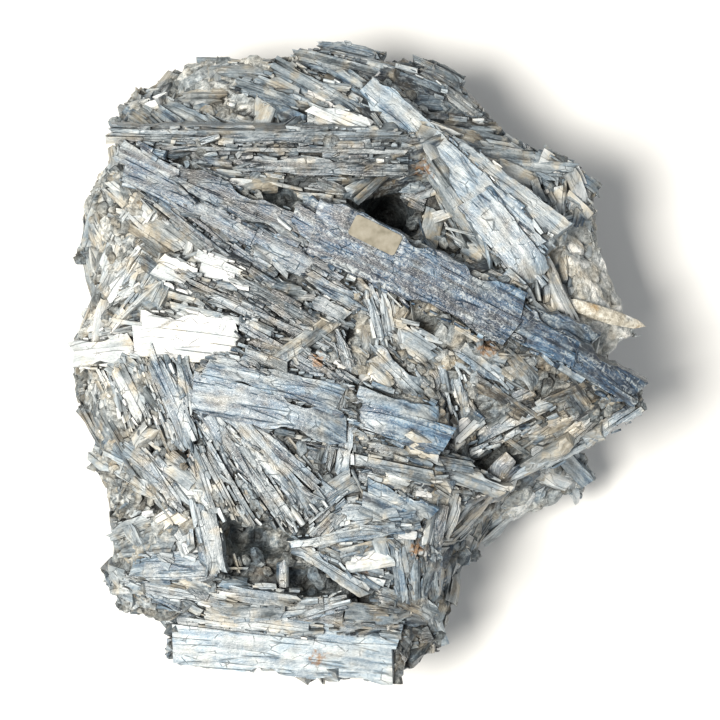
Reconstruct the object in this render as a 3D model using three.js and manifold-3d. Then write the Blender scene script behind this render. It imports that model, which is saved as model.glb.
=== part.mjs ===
// A kyanite blade cluster: one loose piece of intergrown blades and pale matrix, with a paper label glued on its
// longest blade. Millimetres, +Z up. It rests on a flat break at z = 0, with the origin under the middle of its
// outline.
import * as THREE from "three";
import { ConvexGeometry } from "three/addons/geometries/ConvexGeometry.js";
import { mergeVertices } from "three/addons/utils/BufferGeometryUtils.js";
import Module from "manifold-3d";

// Driving dimensions.
const chamferShare = 0.16; // of a blade's thickness, taken off its long edges
const plainBelow = 13; // a blade narrower than this keeps square edges
const endSlope = 0.35; // how far a broken end leans across the blade
const label = { length: 20, width: 8.6, thickness: 0.4, corner: 1.3, gap: 0.3, along: 0.25, across: 6 };
// The blades on the flanks: how many in each ring, the rings' heights and how far a blade strays from its own, its
// size, how far it stands proud of the wall and leans (in radians), and its roll in the middle ring and between rings.
const flank = {
  perRing: 15, levels: [20, 44, 68], stray: 6, length: 40, width: 9, thickness: 9, proud: 1.5, lean: 1.2,
  roll: 90, rollStep: 12,
};
const mouth = 130; // above every blade, where the vugs open

const wasm = await Module();
wasm.setup();

// A closed three.js geometry as a solid.
function solidOf(geometry) {
  const bare = geometry.index ? geometry.toNonIndexed() : geometry.clone();
  bare.deleteAttribute("normal");
  bare.deleteAttribute("uv");
  const merged = mergeVertices(bare, 1e-4);
  return new wasm.Manifold(
    new wasm.Mesh({
      numProp: 3,
      vertProperties: merged.attributes.position.array,
      triVerts: new Uint32Array(merged.index.array),
    }),
  );
}

// A solid as a three.js geometry.
function geometryOf(solid) {
  const mesh = solid.getMesh();
  const indexed = new THREE.BufferGeometry()
    .setAttribute("position", new THREE.BufferAttribute(mesh.vertProperties, 3))
    .setIndex(new THREE.BufferAttribute(mesh.triVerts, 1));
  const faceted = indexed.toNonIndexed();
  faceted.computeVertexNormals();
  return faceted;
}

// The same share from 0 to 1 for the same two whole numbers, for what varies from blade to blade.
function vary(index, channel) {
  const wave = Math.sin(index * 12.9898 + channel * 78.233) * 43758.5453;
  return wave - Math.floor(wave);
}

// The hull of some corners: a lump of the mass, or the inside of a vug.
function lump(corners) {
  return solidOf(new ConvexGeometry(corners.map((corner) => new THREE.Vector3(...corner))));
}

// A vug with the outline at its mouth, drawn in towards its middle as it goes down.
function pit({ outline, floorZ, floorShare }) {
  const middle = [0, 1].map((axis) => outline.reduce((sum, corner) => sum + corner[axis], 0) / outline.length);
  const drawnIn = (value, axis) => middle[axis] + (value - middle[axis]) * floorShare;
  const floor = outline.map((corner) => corner.map(drawnIn));
  return lump([...outline.map((corner) => [...corner, mouth]), ...floor.map((corner) => [...corner, floorZ])]);
}

// The axes of a blade that runs between two points of its outer face: across, outward and along. A positive roll
// turns the outer face to the right, as seen looking along the blade.
function bladeAxes(from, to, roll) {
  const along = new THREE.Vector3(...to).sub(new THREE.Vector3(...from)).normalize();
  const level = new THREE.Vector3(0, 0, 1).cross(along).normalize();
  const up = along.clone().cross(level);
  const turn = THREE.MathUtils.degToRad(roll);
  const across = level.clone().multiplyScalar(Math.cos(turn)).addScaledVector(up, Math.sin(turn));
  const outward = up.clone().multiplyScalar(Math.cos(turn)).addScaledVector(level, -Math.sin(turn));
  return { across, outward, along };
}

// One blade: a flat bar with chamfered long edges and leaning broken ends.
function blade(index, from, to, width, thickness, roll) {
  const length = new THREE.Vector3(...to).distanceTo(new THREE.Vector3(...from));
  const half = width / 2;
  const cut = thickness * chamferShare;
  const square = [[half, 0], [-half, 0], [-half, -thickness], [half, -thickness]];
  const chamfered = [
    [half - cut, 0], [-half + cut, 0], [-half, -cut], [-half, -thickness], [half, -thickness], [half, -cut],
  ];
  const corners = width < plainBelow ? square : chamfered;
  const section = new THREE.Shape(corners.map(([x, y]) => new THREE.Vector2(x, y)));
  const bar = new THREE.ExtrudeGeometry(section, { depth: length, bevelEnabled: false });
  const places = bar.getAttribute("position");
  for (let i = 0; i < places.count; i++) {
    const atEnd = places.getZ(i) > length / 2;
    const lean = (vary(index, atEnd ? 1 : 2) - 0.5) * 2 * endSlope * (atEnd ? 1 : -1);
    places.setZ(i, places.getZ(i) + lean * places.getX(i));
  }
  const { across, outward, along } = bladeAxes(from, to, roll);
  bar.applyMatrix4(new THREE.Matrix4().makeBasis(across, outward, along).setPosition(...from));
  return solidOf(bar);
}

// The lumps that make up the mass under the blades, each as the corners of its hull.
const lumps = [
  // middle block
  [[-95, 78, 94], [-101, 22, 99], [-99, -28, 100], [-95, -86, 94], [-12, -92, 94], [28, -70, 92], [42, -30, 92],
   [82, -10, 90], [64, 22, 100], [24, 48, 104], [-12, 72, 102], [-40, 0, 111], [-20, -42, 110], [20, -8, 107],
   [-100, 82, 56], [-106, 16, 50], [-103, -40, 52], [-98, -92, 60], [-10, -100, 56], [38, -78, 44], [62, -44, 40],
   [-70, 60, 0], [-78, -10, 0], [-68, -66, 0], [-6, -78, 0], [46, -46, 0], [66, 8, 0], [38, 58, 0], [-20, 70, 0]],
  // far shelf
  [[-94, 104, 70], [-70, 123, 66], [-40, 128, 70], [-10, 130, 68], [28, 121, 72], [44, 105, 76], [58, 90, 80],
   [84, 79, 78], [60, 40, 96], [-20, 70, 98], [-93, 84, 88], [-80, 102, 40], [-30, 116, 34], [30, 110, 36],
   [78, 74, 36], [-50, 74, 4], [30, 72, 4], [56, 40, 0], [-60, 40, 0]],
  // right flank
  [[86, 72, 78], [92, 60, 76], [97, 40, 74], [100, 20, 72], [99, 2, 74], [88, -12, 84], [60, 30, 98], [40, 60, 96],
   [90, 56, 38], [96, 18, 34], [88, -16, 34], [60, 40, 0], [66, -10, 0], [40, 0, 0]],
  // prow under the end of the long blade
  [[60, 22, 104], [104, -8, 95], [106, -14, 92], [92, -24, 88], [58, -42, 84], [56, -8, 97], [60, -20, 60],
   [80, 0, 58]],
  // low ledge, right and near
  [[38, -26, 50], [84, -26, 42], [95, -44, 36], [80, -54, 33], [50, -62, 35], [34, -66, 44], [40, -26, 4],
   [76, -30, 6], [84, -42, 14], [50, -54, 4], [28, -58, 2]],
  // near right corner
  [[12, -66, 84], [34, -68, 66], [37, -90, 54], [33, -106, 52], [18, -110, 54], [8, -98, 72], [10, -66, 4],
   [28, -74, 8], [26, -92, 16], [10, -94, 14]],
  // footing under the near slab
  [[-74, -92, 60], [-70, -106, 54], [-30, -113, 52], [12, -112, 54], [18, -100, 58], [-66, -84, 74], [8, -86, 74],
   [-58, -78, 6], [-50, -96, 20], [4, -98, 20], [8, -78, 4]],
  // left bulge
  [[-113, 26, 82], [-117, -4, 80], [-112, -22, 82], [-98, -32, 92], [-94, 32, 97], [-112, 2, 44], [-78, 20, 4],
   [-80, -18, 4]],
  // far left bulge
  [[-110, 78, 82], [-112, 56, 82], [-104, 42, 88], [-96, 88, 92], [-90, 60, 98], [-104, 64, 44], [-72, 58, 4],
   [-70, 40, 4]],
];

// Vugs and open gaps between blades.
const vugs = [
  { outline: [[-4, 75], [6, 73], [21, 70], [22, 52], [10, 53]], floorZ: 64, floorShare: 0.7 },
  { outline: [[-54, -60], [-14, -63], [-12, -70], [-50, -71]], floorZ: 78, floorShare: 0.7 },
  { outline: [[-34, -79], [8, -85], [10, -91], [-26, -90]], floorZ: 72, floorShare: 0.7 },
  { outline: [[38, -27], [52, -30], [60, -44], [44, -45]], floorZ: 56, floorShare: 0.6 },
  { outline: [[-43, 73], [-34, 69], [-35, 61], [-41, 62]], floorZ: 88, floorShare: 0.6 },
  { outline: [[-31, 71], [-21, 62], [-19, 55], [-28, 60]], floorZ: 84, floorShare: 0.6 },
  { outline: [[-92, 101], [-76, 102], [-67, 94], [-80, 94]], floorZ: 66, floorShare: 0.6 },
];

// The blades that show on top and on the rim: from, to, width, thickness, roll.
const blades = [
  // the long blue blade, in two lengths, and the label's seat on its first
  [[-17, 56, 117], [64, 16, 115], 23, 10, 4],
  [[54, 22, 114], [108, -13, 101], 14, 10, 8],
  // left blue blade
  [[-70, 76, 110], [-8, 46, 114], 11, 9, -4],
  [[-93, 82, 104], [-6, 36, 114], 15, 9, 5],
  [[-90, 76, 103], [-38, 38, 110], 5, 7, 14],
  // broad far blade
  [[34, 88, 101], [80, 52, 106], 14, 8, -6],
  [[4, 112, 95], [70, 46, 108], 14, 8, 7],
  [[46, 64, 106], [71, 33, 110], 13, 8, 4],
  [[-6, 120, 86], [32, 88, 98], 10, 8, -8],
  // cross bar
  [[-97, 92, 102], [20, 91, 104], 6, 9, 22],
  [[-84, 86, 103], [20, 84, 106], 6, 9, 12],
  [[-46, 80, 105], [20, 78, 107], 7, 9, 8],
  [[32, 87, 90], [88, 82, 85], 9, 8, -10],
  [[30, 97, 86], [54, 96, 82], 9, 8, -14],
  // far sheaf
  [[-36, 124, 78], [6, 96, 98], 10, 8, -6],
  [[-26, 128, 74], [12, 117, 82], 10, 8, -12],
  [[-16, 134, 66], [8, 128, 70], 9, 8, -16],
  [[-20, 103, 96], [0, 94, 101], 11, 7, 2],
  [[-50, 116, 82], [-24, 105, 92], 6, 7, -8],
  [[12, 120, 84], [34, 112, 82], 7, 7, -8],
  [[22, 126, 72], [42, 116, 72], 13, 9, -20],
  [[34, 109, 80], [51, 102, 76], 12, 9, -14],
  // far left lumps
  [[-57, 131, 70], [-52, 102, 88], 10, 8, 6],
  [[-77, 126, 64], [-70, 106, 80], 12, 8, 4],
  [[-66, 128, 68], [-61, 102, 86], 9, 8, -6],
  [[-45, 130, 72], [-38, 105, 88], 9, 8, 8],
  [[-94, 117, 64], [-83, 101, 78], 12, 8, -10],
  [[-86, 110, 76], [-60, 97, 92], 8, 7, -8],
  [[-101, 104, 80], [-88, 91, 96], 10, 8, -6],
  // right flank
  [[72, 84, 87], [96, 70, 80], 12, 9, -12],
  [[70, 76, 89], [73, 66, 92], 5, 6, 0],
  [[80, 74, 87], [79, 62, 90], 5, 6, 6],
  [[88, 72, 82], [94, 54, 80], 10, 8, -18],
  [[74, 44, 98], [100, 10, 84], 22, 9, -8],
  [[92, 52, 84], [104, 22, 74], 11, 9, -26],
  [[80, 28, 98], [115, 13, 80], 7, 6, -4],
  [[66, 28, 104], [88, 12, 98], 8, 7, -6],
  // prow
  [[58, 3, 105], [106, -16, 97], 11, 9, 8],
  [[54, -4, 103], [96, -20, 95], 9, 9, 10],
  [[56, -46, 86], [93, -27, 92], 6, 9, 18],
  [[90, -28, 92], [114, -13, 97], 8, 8, 14],
  [[46, -28, 96], [76, -14, 100], 8, 8, -4],
  [[42, -33, 92], [72, -20, 96], 5, 8, 8],
  [[58, -34, 90], [84, -22, 94], 8, 8, 10],
  // middle, between the long blade and the flat plates
  [[14, 13, 113], [29, 4, 110], 10, 8, 4],
  [[9, 30, 116], [12, 10, 113], 5, 8, -6],
  [[4, 27, 116], [8, 10, 114], 4, 8, 8],
  [[30, 0, 108], [35, -17, 106], 7, 8, -6],
  [[37, -2, 106], [41, -15, 104], 4, 8, 10],
  [[-9, 14, 117], [-2, -6, 116], 5, 8, -4],
  [[-18, 26, 116], [-4, 18, 116], 7, 12, 4],
  [[36, 10, 108], [57, -5, 104], 7, 8, 6],
  [[6, 6, 113], [24, -11, 111], 10, 8, 6],
  [[42, -3, 104], [57, -18, 101], 11, 8, 4],
  [[-20, 36, 115], [-2, 26, 116], 7, 8, -4],
  // flat plates in the middle
  [[-58, 0, 119], [-6, -12, 121], 11, 8, -3],
  [[-63, -9, 118], [0, -26, 120], 14, 9, 4],
  [[-3, -14, 120], [34, -25, 117], 19, 10, 3],
  [[-6, -22, 118], [-9, -43, 116], 10, 8, 0],
  [[-45, 6, 120], [-36, 2, 121], 8, 7, -4],
  [[-8, -34, 115], [30, -42, 112], 9, 9, 8],
  // white plates on the left
  [[-87, 14, 112], [-46, 9, 116], 19, 9, 2],
  [[-79, 41, 109], [-65, 34, 112], 10, 8, 2],
  [[-63, 41, 111], [-47, 35, 113], 9, 8, 2],
  [[-114, 6, 94], [-89, 8, 105], 12, 9, 0],
  [[-99, 61, 99], [-92, 45, 104], 10, 8, 4],
  [[-102, 76, 94], [-92, 60, 103], 9, 8, -4],
  [[-110, 66, 88], [-98, 52, 98], 10, 8, 4],
  [[-107, 40, 92], [-92, 24, 103], 8, 8, 4],
  [[-112, 20, 90], [-94, 14, 101], 8, 8, -4],
  // dark needles
  [[-68, 34, 113], [-12, 8, 117], 5, 9, 14],
  [[-48, 35, 113], [-11, 14, 116], 5, 9, -12],
  [[-42, 30, 113], [-6, 4, 117], 5, 9, 10],
  [[-58, 28, 114], [-40, 19, 116], 6, 8, 4],
  [[-46, 16, 117], [-8, -6, 119], 7, 9, 12],
  [[-26, 8, 118], [-4, -8, 119], 5, 9, 16],
  [[-84, 68, 103], [-42, 34, 111], 5, 8, 16],
  // needles below the white plates
  [[-80, 2, 114], [-65, -31, 117], 10, 8, 4],
  [[-85, 3, 112], [-72, -28, 115], 4, 8, 8],
  [[-70, 3, 115], [-64, -16, 117], 7, 8, -4],
  [[-95, 0, 106], [-84, -20, 111], 8, 8, 6],
  // the fan
  [[-62, -12, 117], [-26, -61, 117], 6, 9, 6],
  [[-54, -13, 118], [-17, -55, 118], 9, 9, -3],
  [[-58, -20, 117], [-29, -62, 116], 5, 9, 10],
  [[-60, -26, 116], [-39, -62, 115], 5, 9, 4],
  [[-60, -32, 115], [-47, -57, 114], 5, 9, -6],
  [[-64, -32, 114], [-56, -55, 113], 5, 9, 6],
  [[-64, -10, 117], [-50, -32, 117], 7, 8, 4],
  [[-42, -24, 118], [-16, -48, 118], 8, 9, -5],
  // left margin
  [[-108, -4, 94], [-100, -30, 100], 8, 8, 8],
  [[-94, -4, 104], [-88, -24, 108], 6, 8, -6],
  [[-112, -38, 90], [-90, -43, 102], 5, 7, 4],
  [[-100, -30, 97], [-92, -52, 103], 7, 8, 6],
  [[-92, -30, 106], [-76, -44, 110], 7, 8, -4],
  [[-84, -36, 109], [-70, -54, 112], 7, 8, 6],
  [[-102, -50, 94], [-84, -58, 104], 8, 8, -4],
  [[-99, -66, 94], [-82, -60, 105], 8, 8, 4],
  [[-80, -58, 108], [-65, -68, 110], 14, 8, 2],
  // near left corner
  [[-60, -55, 113], [-55, -81, 111], 8, 9, 2],
  [[-89, -78, 105], [-54, -77, 110], 11, 9, 4],
  [[-101, -80, 92], [-88, -92, 96], 10, 9, 6],
  [[-92, -84, 100], [-50, -92, 103], 6, 8, 8],
  [[-85, -86, 101], [-61, -97, 98], 6, 8, 4],
  [[-98, -94, 88], [-74, -98, 92], 8, 8, 10],
  [[-54, -88, 104], [-24, -92, 103], 7, 8, 6],
  [[-50, -97, 98], [-14, -94, 99], 7, 8, 12],
  [[-24, -97, 98], [-6, -91, 100], 7, 8, -4],
  [[-8, -98, 95], [18, -99, 92], 7, 8, 8],
  // near middle
  [[-26, -68, 115], [18, -63, 113], 4, 8, 2],
  [[-25, -70, 114], [4, -88, 110], 7, 9, 4],
  [[2, -49, 115], [27, -60, 110], 13, 9, 4],
  [[-8, -57, 114], [16, -54, 113], 9, 8, -4],
  [[-20, -60, 114], [-8, -50, 115], 7, 8, 6],
  [[14, -73, 108], [17, -92, 103], 5, 8, 4],
  [[21, -76, 106], [22, -95, 100], 5, 8, -6],
  [[27, -76, 104], [29, -93, 98], 6, 8, 6],
  [[8, -87, 105], [31, -97, 98], 9, 8, 6],
  [[20, -66, 108], [34, -77, 102], 8, 8, 4],
  [[-6, -76, 110], [10, -80, 108], 7, 8, -4],
  [[6, -36, 114], [29, -47, 110], 10, 9, 6],
  [[4, -31, 115], [46, -39, 106], 6, 8, 8],
  [[30, -39, 103], [59, -49, 92], 8, 9, 6],
  [[28, -50, 103], [44, -52, 94], 9, 9, 10],
  // low ledge
  [[78, -28, 50], [95, -50, 36], 18, 9, 6],
  [[46, -56, 46], [82, -52, 38], 14, 9, 10],
  [[36, -56, 52], [57, -65, 38], 13, 9, 12],
  [[60, -36, 52], [80, -40, 46], 16, 9, 2],
  // near right corner
  [[34, -64, 54], [51, -79, 46], 8, 9, 4],
  [[33, -78, 62], [38, -98, 54], 10, 9, -14],
  [[16, -104, 66], [36, -112, 58], 13, 9, 6],
  [[30, -70, 72], [36, -84, 62], 9, 9, -10],
  // near slab
  [[-76, -105, 71], [18, -114, 73], 28, 14, 6],
  [[-66, -98, 76], [-18, -104, 78], 8, 9, 10],
  [[-10, -102, 80], [14, -104, 78], 8, 9, 12],
];

// The middle of the mass at a height, and how far its wall stands off, for the blades on the flanks.
function wallRadius(mass, angle, height) {
  const reach = 150;
  const direction = new THREE.Vector2(Math.cos(angle), Math.sin(angle));
  const sides = [
    [-1, -1], [-1, 1], [1, -1], [1, 1],
  ];
  const rod = lump(
    [0, reach].flatMap((far) =>
      sides.map(([side, rise]) => [direction.x * far - direction.y * side, direction.y * far + direction.x * side,
        height + rise]),
    ),
  );
  const box = mass.intersect(rod).boundingBox();
  return Math.max(
    ...[[0, 0], [0, 1], [1, 0], [1, 1]].map(([i, j]) => {
      const x = i ? box.max[0] : box.min[0];
      const y = j ? box.max[1] : box.min[1];
      return x * direction.x + y * direction.y;
    }),
  );
}

// Blades on the flanks, in rings from the foot up. Each lies on the wall and leans its own way.
function flankBlades(mass) {
  const made = [];
  flank.levels.forEach((level, ring) => {
    for (let k = 0; k < flank.perRing; k++) {
      const index = 200 + ring * flank.perRing + k;
      const angle = ((k + 0.5 * (ring % 2) + 0.5 * vary(index, 3)) / flank.perRing) * 2 * Math.PI;
      const height = level + (vary(index, 4) - 0.5) * 2 * flank.stray;
      const radius = wallRadius(mass, angle, height) + flank.proud * vary(index, 5);
      const middle = new THREE.Vector3(Math.cos(angle) * radius, Math.sin(angle) * radius, height);
      const tangent = new THREE.Vector3(-Math.sin(angle), Math.cos(angle), 0);
      const lean = (vary(index, 6) - 0.5) * 2 * flank.lean;
      const way = tangent.multiplyScalar(Math.cos(lean)).add(new THREE.Vector3(0, 0, Math.sin(lean)));
      const half = (flank.length * (0.6 + 0.8 * vary(index, 7))) / 2;
      const from = middle.clone().addScaledVector(way, -half);
      const to = middle.clone().addScaledVector(way, half);
      const outwardRoll = flank.roll - flank.rollStep * (ring - 1);
      const width = flank.width * (0.6 + 0.8 * vary(index, 8));
      made.push(blade(index, from.toArray(), to.toArray(), width, flank.thickness, outwardRoll));
    }
  });
  return made;
}

// The outer skin of a solid as a solid of its own, so that no pocket is left sealed inside.
function withoutPockets(solid) {
  return solid.decompose().reduce((largest, skin) => (skin.volume() > largest.volume() ? skin : largest));
}

function clusterGeometry() {
  const mass = wasm.Manifold.union(lumps.map(lump));
  const carved = mass.subtract(wasm.Manifold.union(vugs.map(pit)));
  const top = blades.map(([from, to, width, thickness, roll], index) =>
    blade(index, from, to, width, thickness, roll),
  );
  const grown = wasm.Manifold.union([carved, ...top, ...flankBlades(mass)]);
  const floor = solidOf(new THREE.BoxGeometry(400, 400, 100).translate(0, 0, -50));
  return geometryOf(withoutPockets(grown.subtract(floor)));
}

// A small rounded card that lies on the outer face of the long blade.
function labelMesh(material) {
  const halfLength = label.length / 2;
  const halfWidth = label.width / 2;
  const r = label.corner;
  const outline = new THREE.Shape();
  outline.absarc(halfLength - r, halfWidth - r, r, 0, Math.PI / 2);
  outline.absarc(-halfLength + r, halfWidth - r, r, Math.PI / 2, Math.PI);
  outline.absarc(-halfLength + r, -halfWidth + r, r, Math.PI, 1.5 * Math.PI);
  outline.absarc(halfLength - r, -halfWidth + r, r, 1.5 * Math.PI, 2 * Math.PI);
  const card = new THREE.ExtrudeGeometry(outline, { depth: label.thickness, bevelEnabled: false, curveSegments: 5 });
  const [from, to, , , roll] = blades[0];
  const { across, outward, along } = bladeAxes(from, to, roll);
  const place = new THREE.Vector3(...from)
    .lerp(new THREE.Vector3(...to), label.along)
    .addScaledVector(across, label.across)
    .addScaledVector(outward, label.gap);
  const mesh = new THREE.Mesh(card, material);
  mesh.name = "paper_label";
  mesh.applyMatrix4(new THREE.Matrix4().makeBasis(along, across, outward).setPosition(place));
  return mesh;
}

const kyanite = new THREE.MeshStandardMaterial({ color: 0x9aa7b0, roughness: 0.55, metalness: 0 });
const paper = new THREE.MeshStandardMaterial({ color: 0xb9ad93, roughness: 0.9, metalness: 0 });

const cluster = new THREE.Group();
const rock = new THREE.Mesh(clusterGeometry(), kyanite);
rock.name = "kyanite_cluster";
cluster.add(rock, labelMesh(paper));

// The middle of the cluster's outline goes over the origin.
const middle = new THREE.Box3().setFromObject(rock).getCenter(new THREE.Vector3());
cluster.position.set(-middle.x, -middle.y, 0);

export default cluster;
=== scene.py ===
"""A kyanite blade cluster: its rock, its large blades, all that grows between them, and its label."""
import math

import bpy
import numpy as np
from mathutils import Matrix, Vector, noise
from mathutils.bvhtree import BVHTree


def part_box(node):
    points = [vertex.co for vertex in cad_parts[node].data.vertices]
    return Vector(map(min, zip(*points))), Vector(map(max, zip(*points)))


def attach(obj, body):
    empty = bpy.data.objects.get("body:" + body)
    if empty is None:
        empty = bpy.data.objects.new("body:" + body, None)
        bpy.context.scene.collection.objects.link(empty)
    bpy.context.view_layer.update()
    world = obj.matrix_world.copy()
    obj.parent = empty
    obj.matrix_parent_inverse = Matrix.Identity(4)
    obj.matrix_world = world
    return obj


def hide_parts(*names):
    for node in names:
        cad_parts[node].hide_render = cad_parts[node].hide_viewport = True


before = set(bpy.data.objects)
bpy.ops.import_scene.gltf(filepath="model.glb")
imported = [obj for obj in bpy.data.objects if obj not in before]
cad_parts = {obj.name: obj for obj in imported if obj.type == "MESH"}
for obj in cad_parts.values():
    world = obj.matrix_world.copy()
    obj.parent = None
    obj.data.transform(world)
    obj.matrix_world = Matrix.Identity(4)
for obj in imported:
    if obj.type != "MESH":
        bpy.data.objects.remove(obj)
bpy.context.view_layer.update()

# Without this the noise is seeded by the clock.
noise.seed_set(7)

MM = 0.001
HALF = Vector((0.5, 0.5, 0.5))

# The label's size, its place on the long blade, and how much it is cockled and curls up, in millimetres.
LABEL_LENGTH = 20
LABEL_WIDTH = 8.6
LABEL_THICKNESS = 0.4
LABEL_CORNER = 1.3
LABEL_GAP = 0.3
LABEL_ALONG = 0.25
LABEL_ACROSS = 6
LABEL_COCKLE = 0.16
LABEL_CURL = 0.0022

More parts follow.
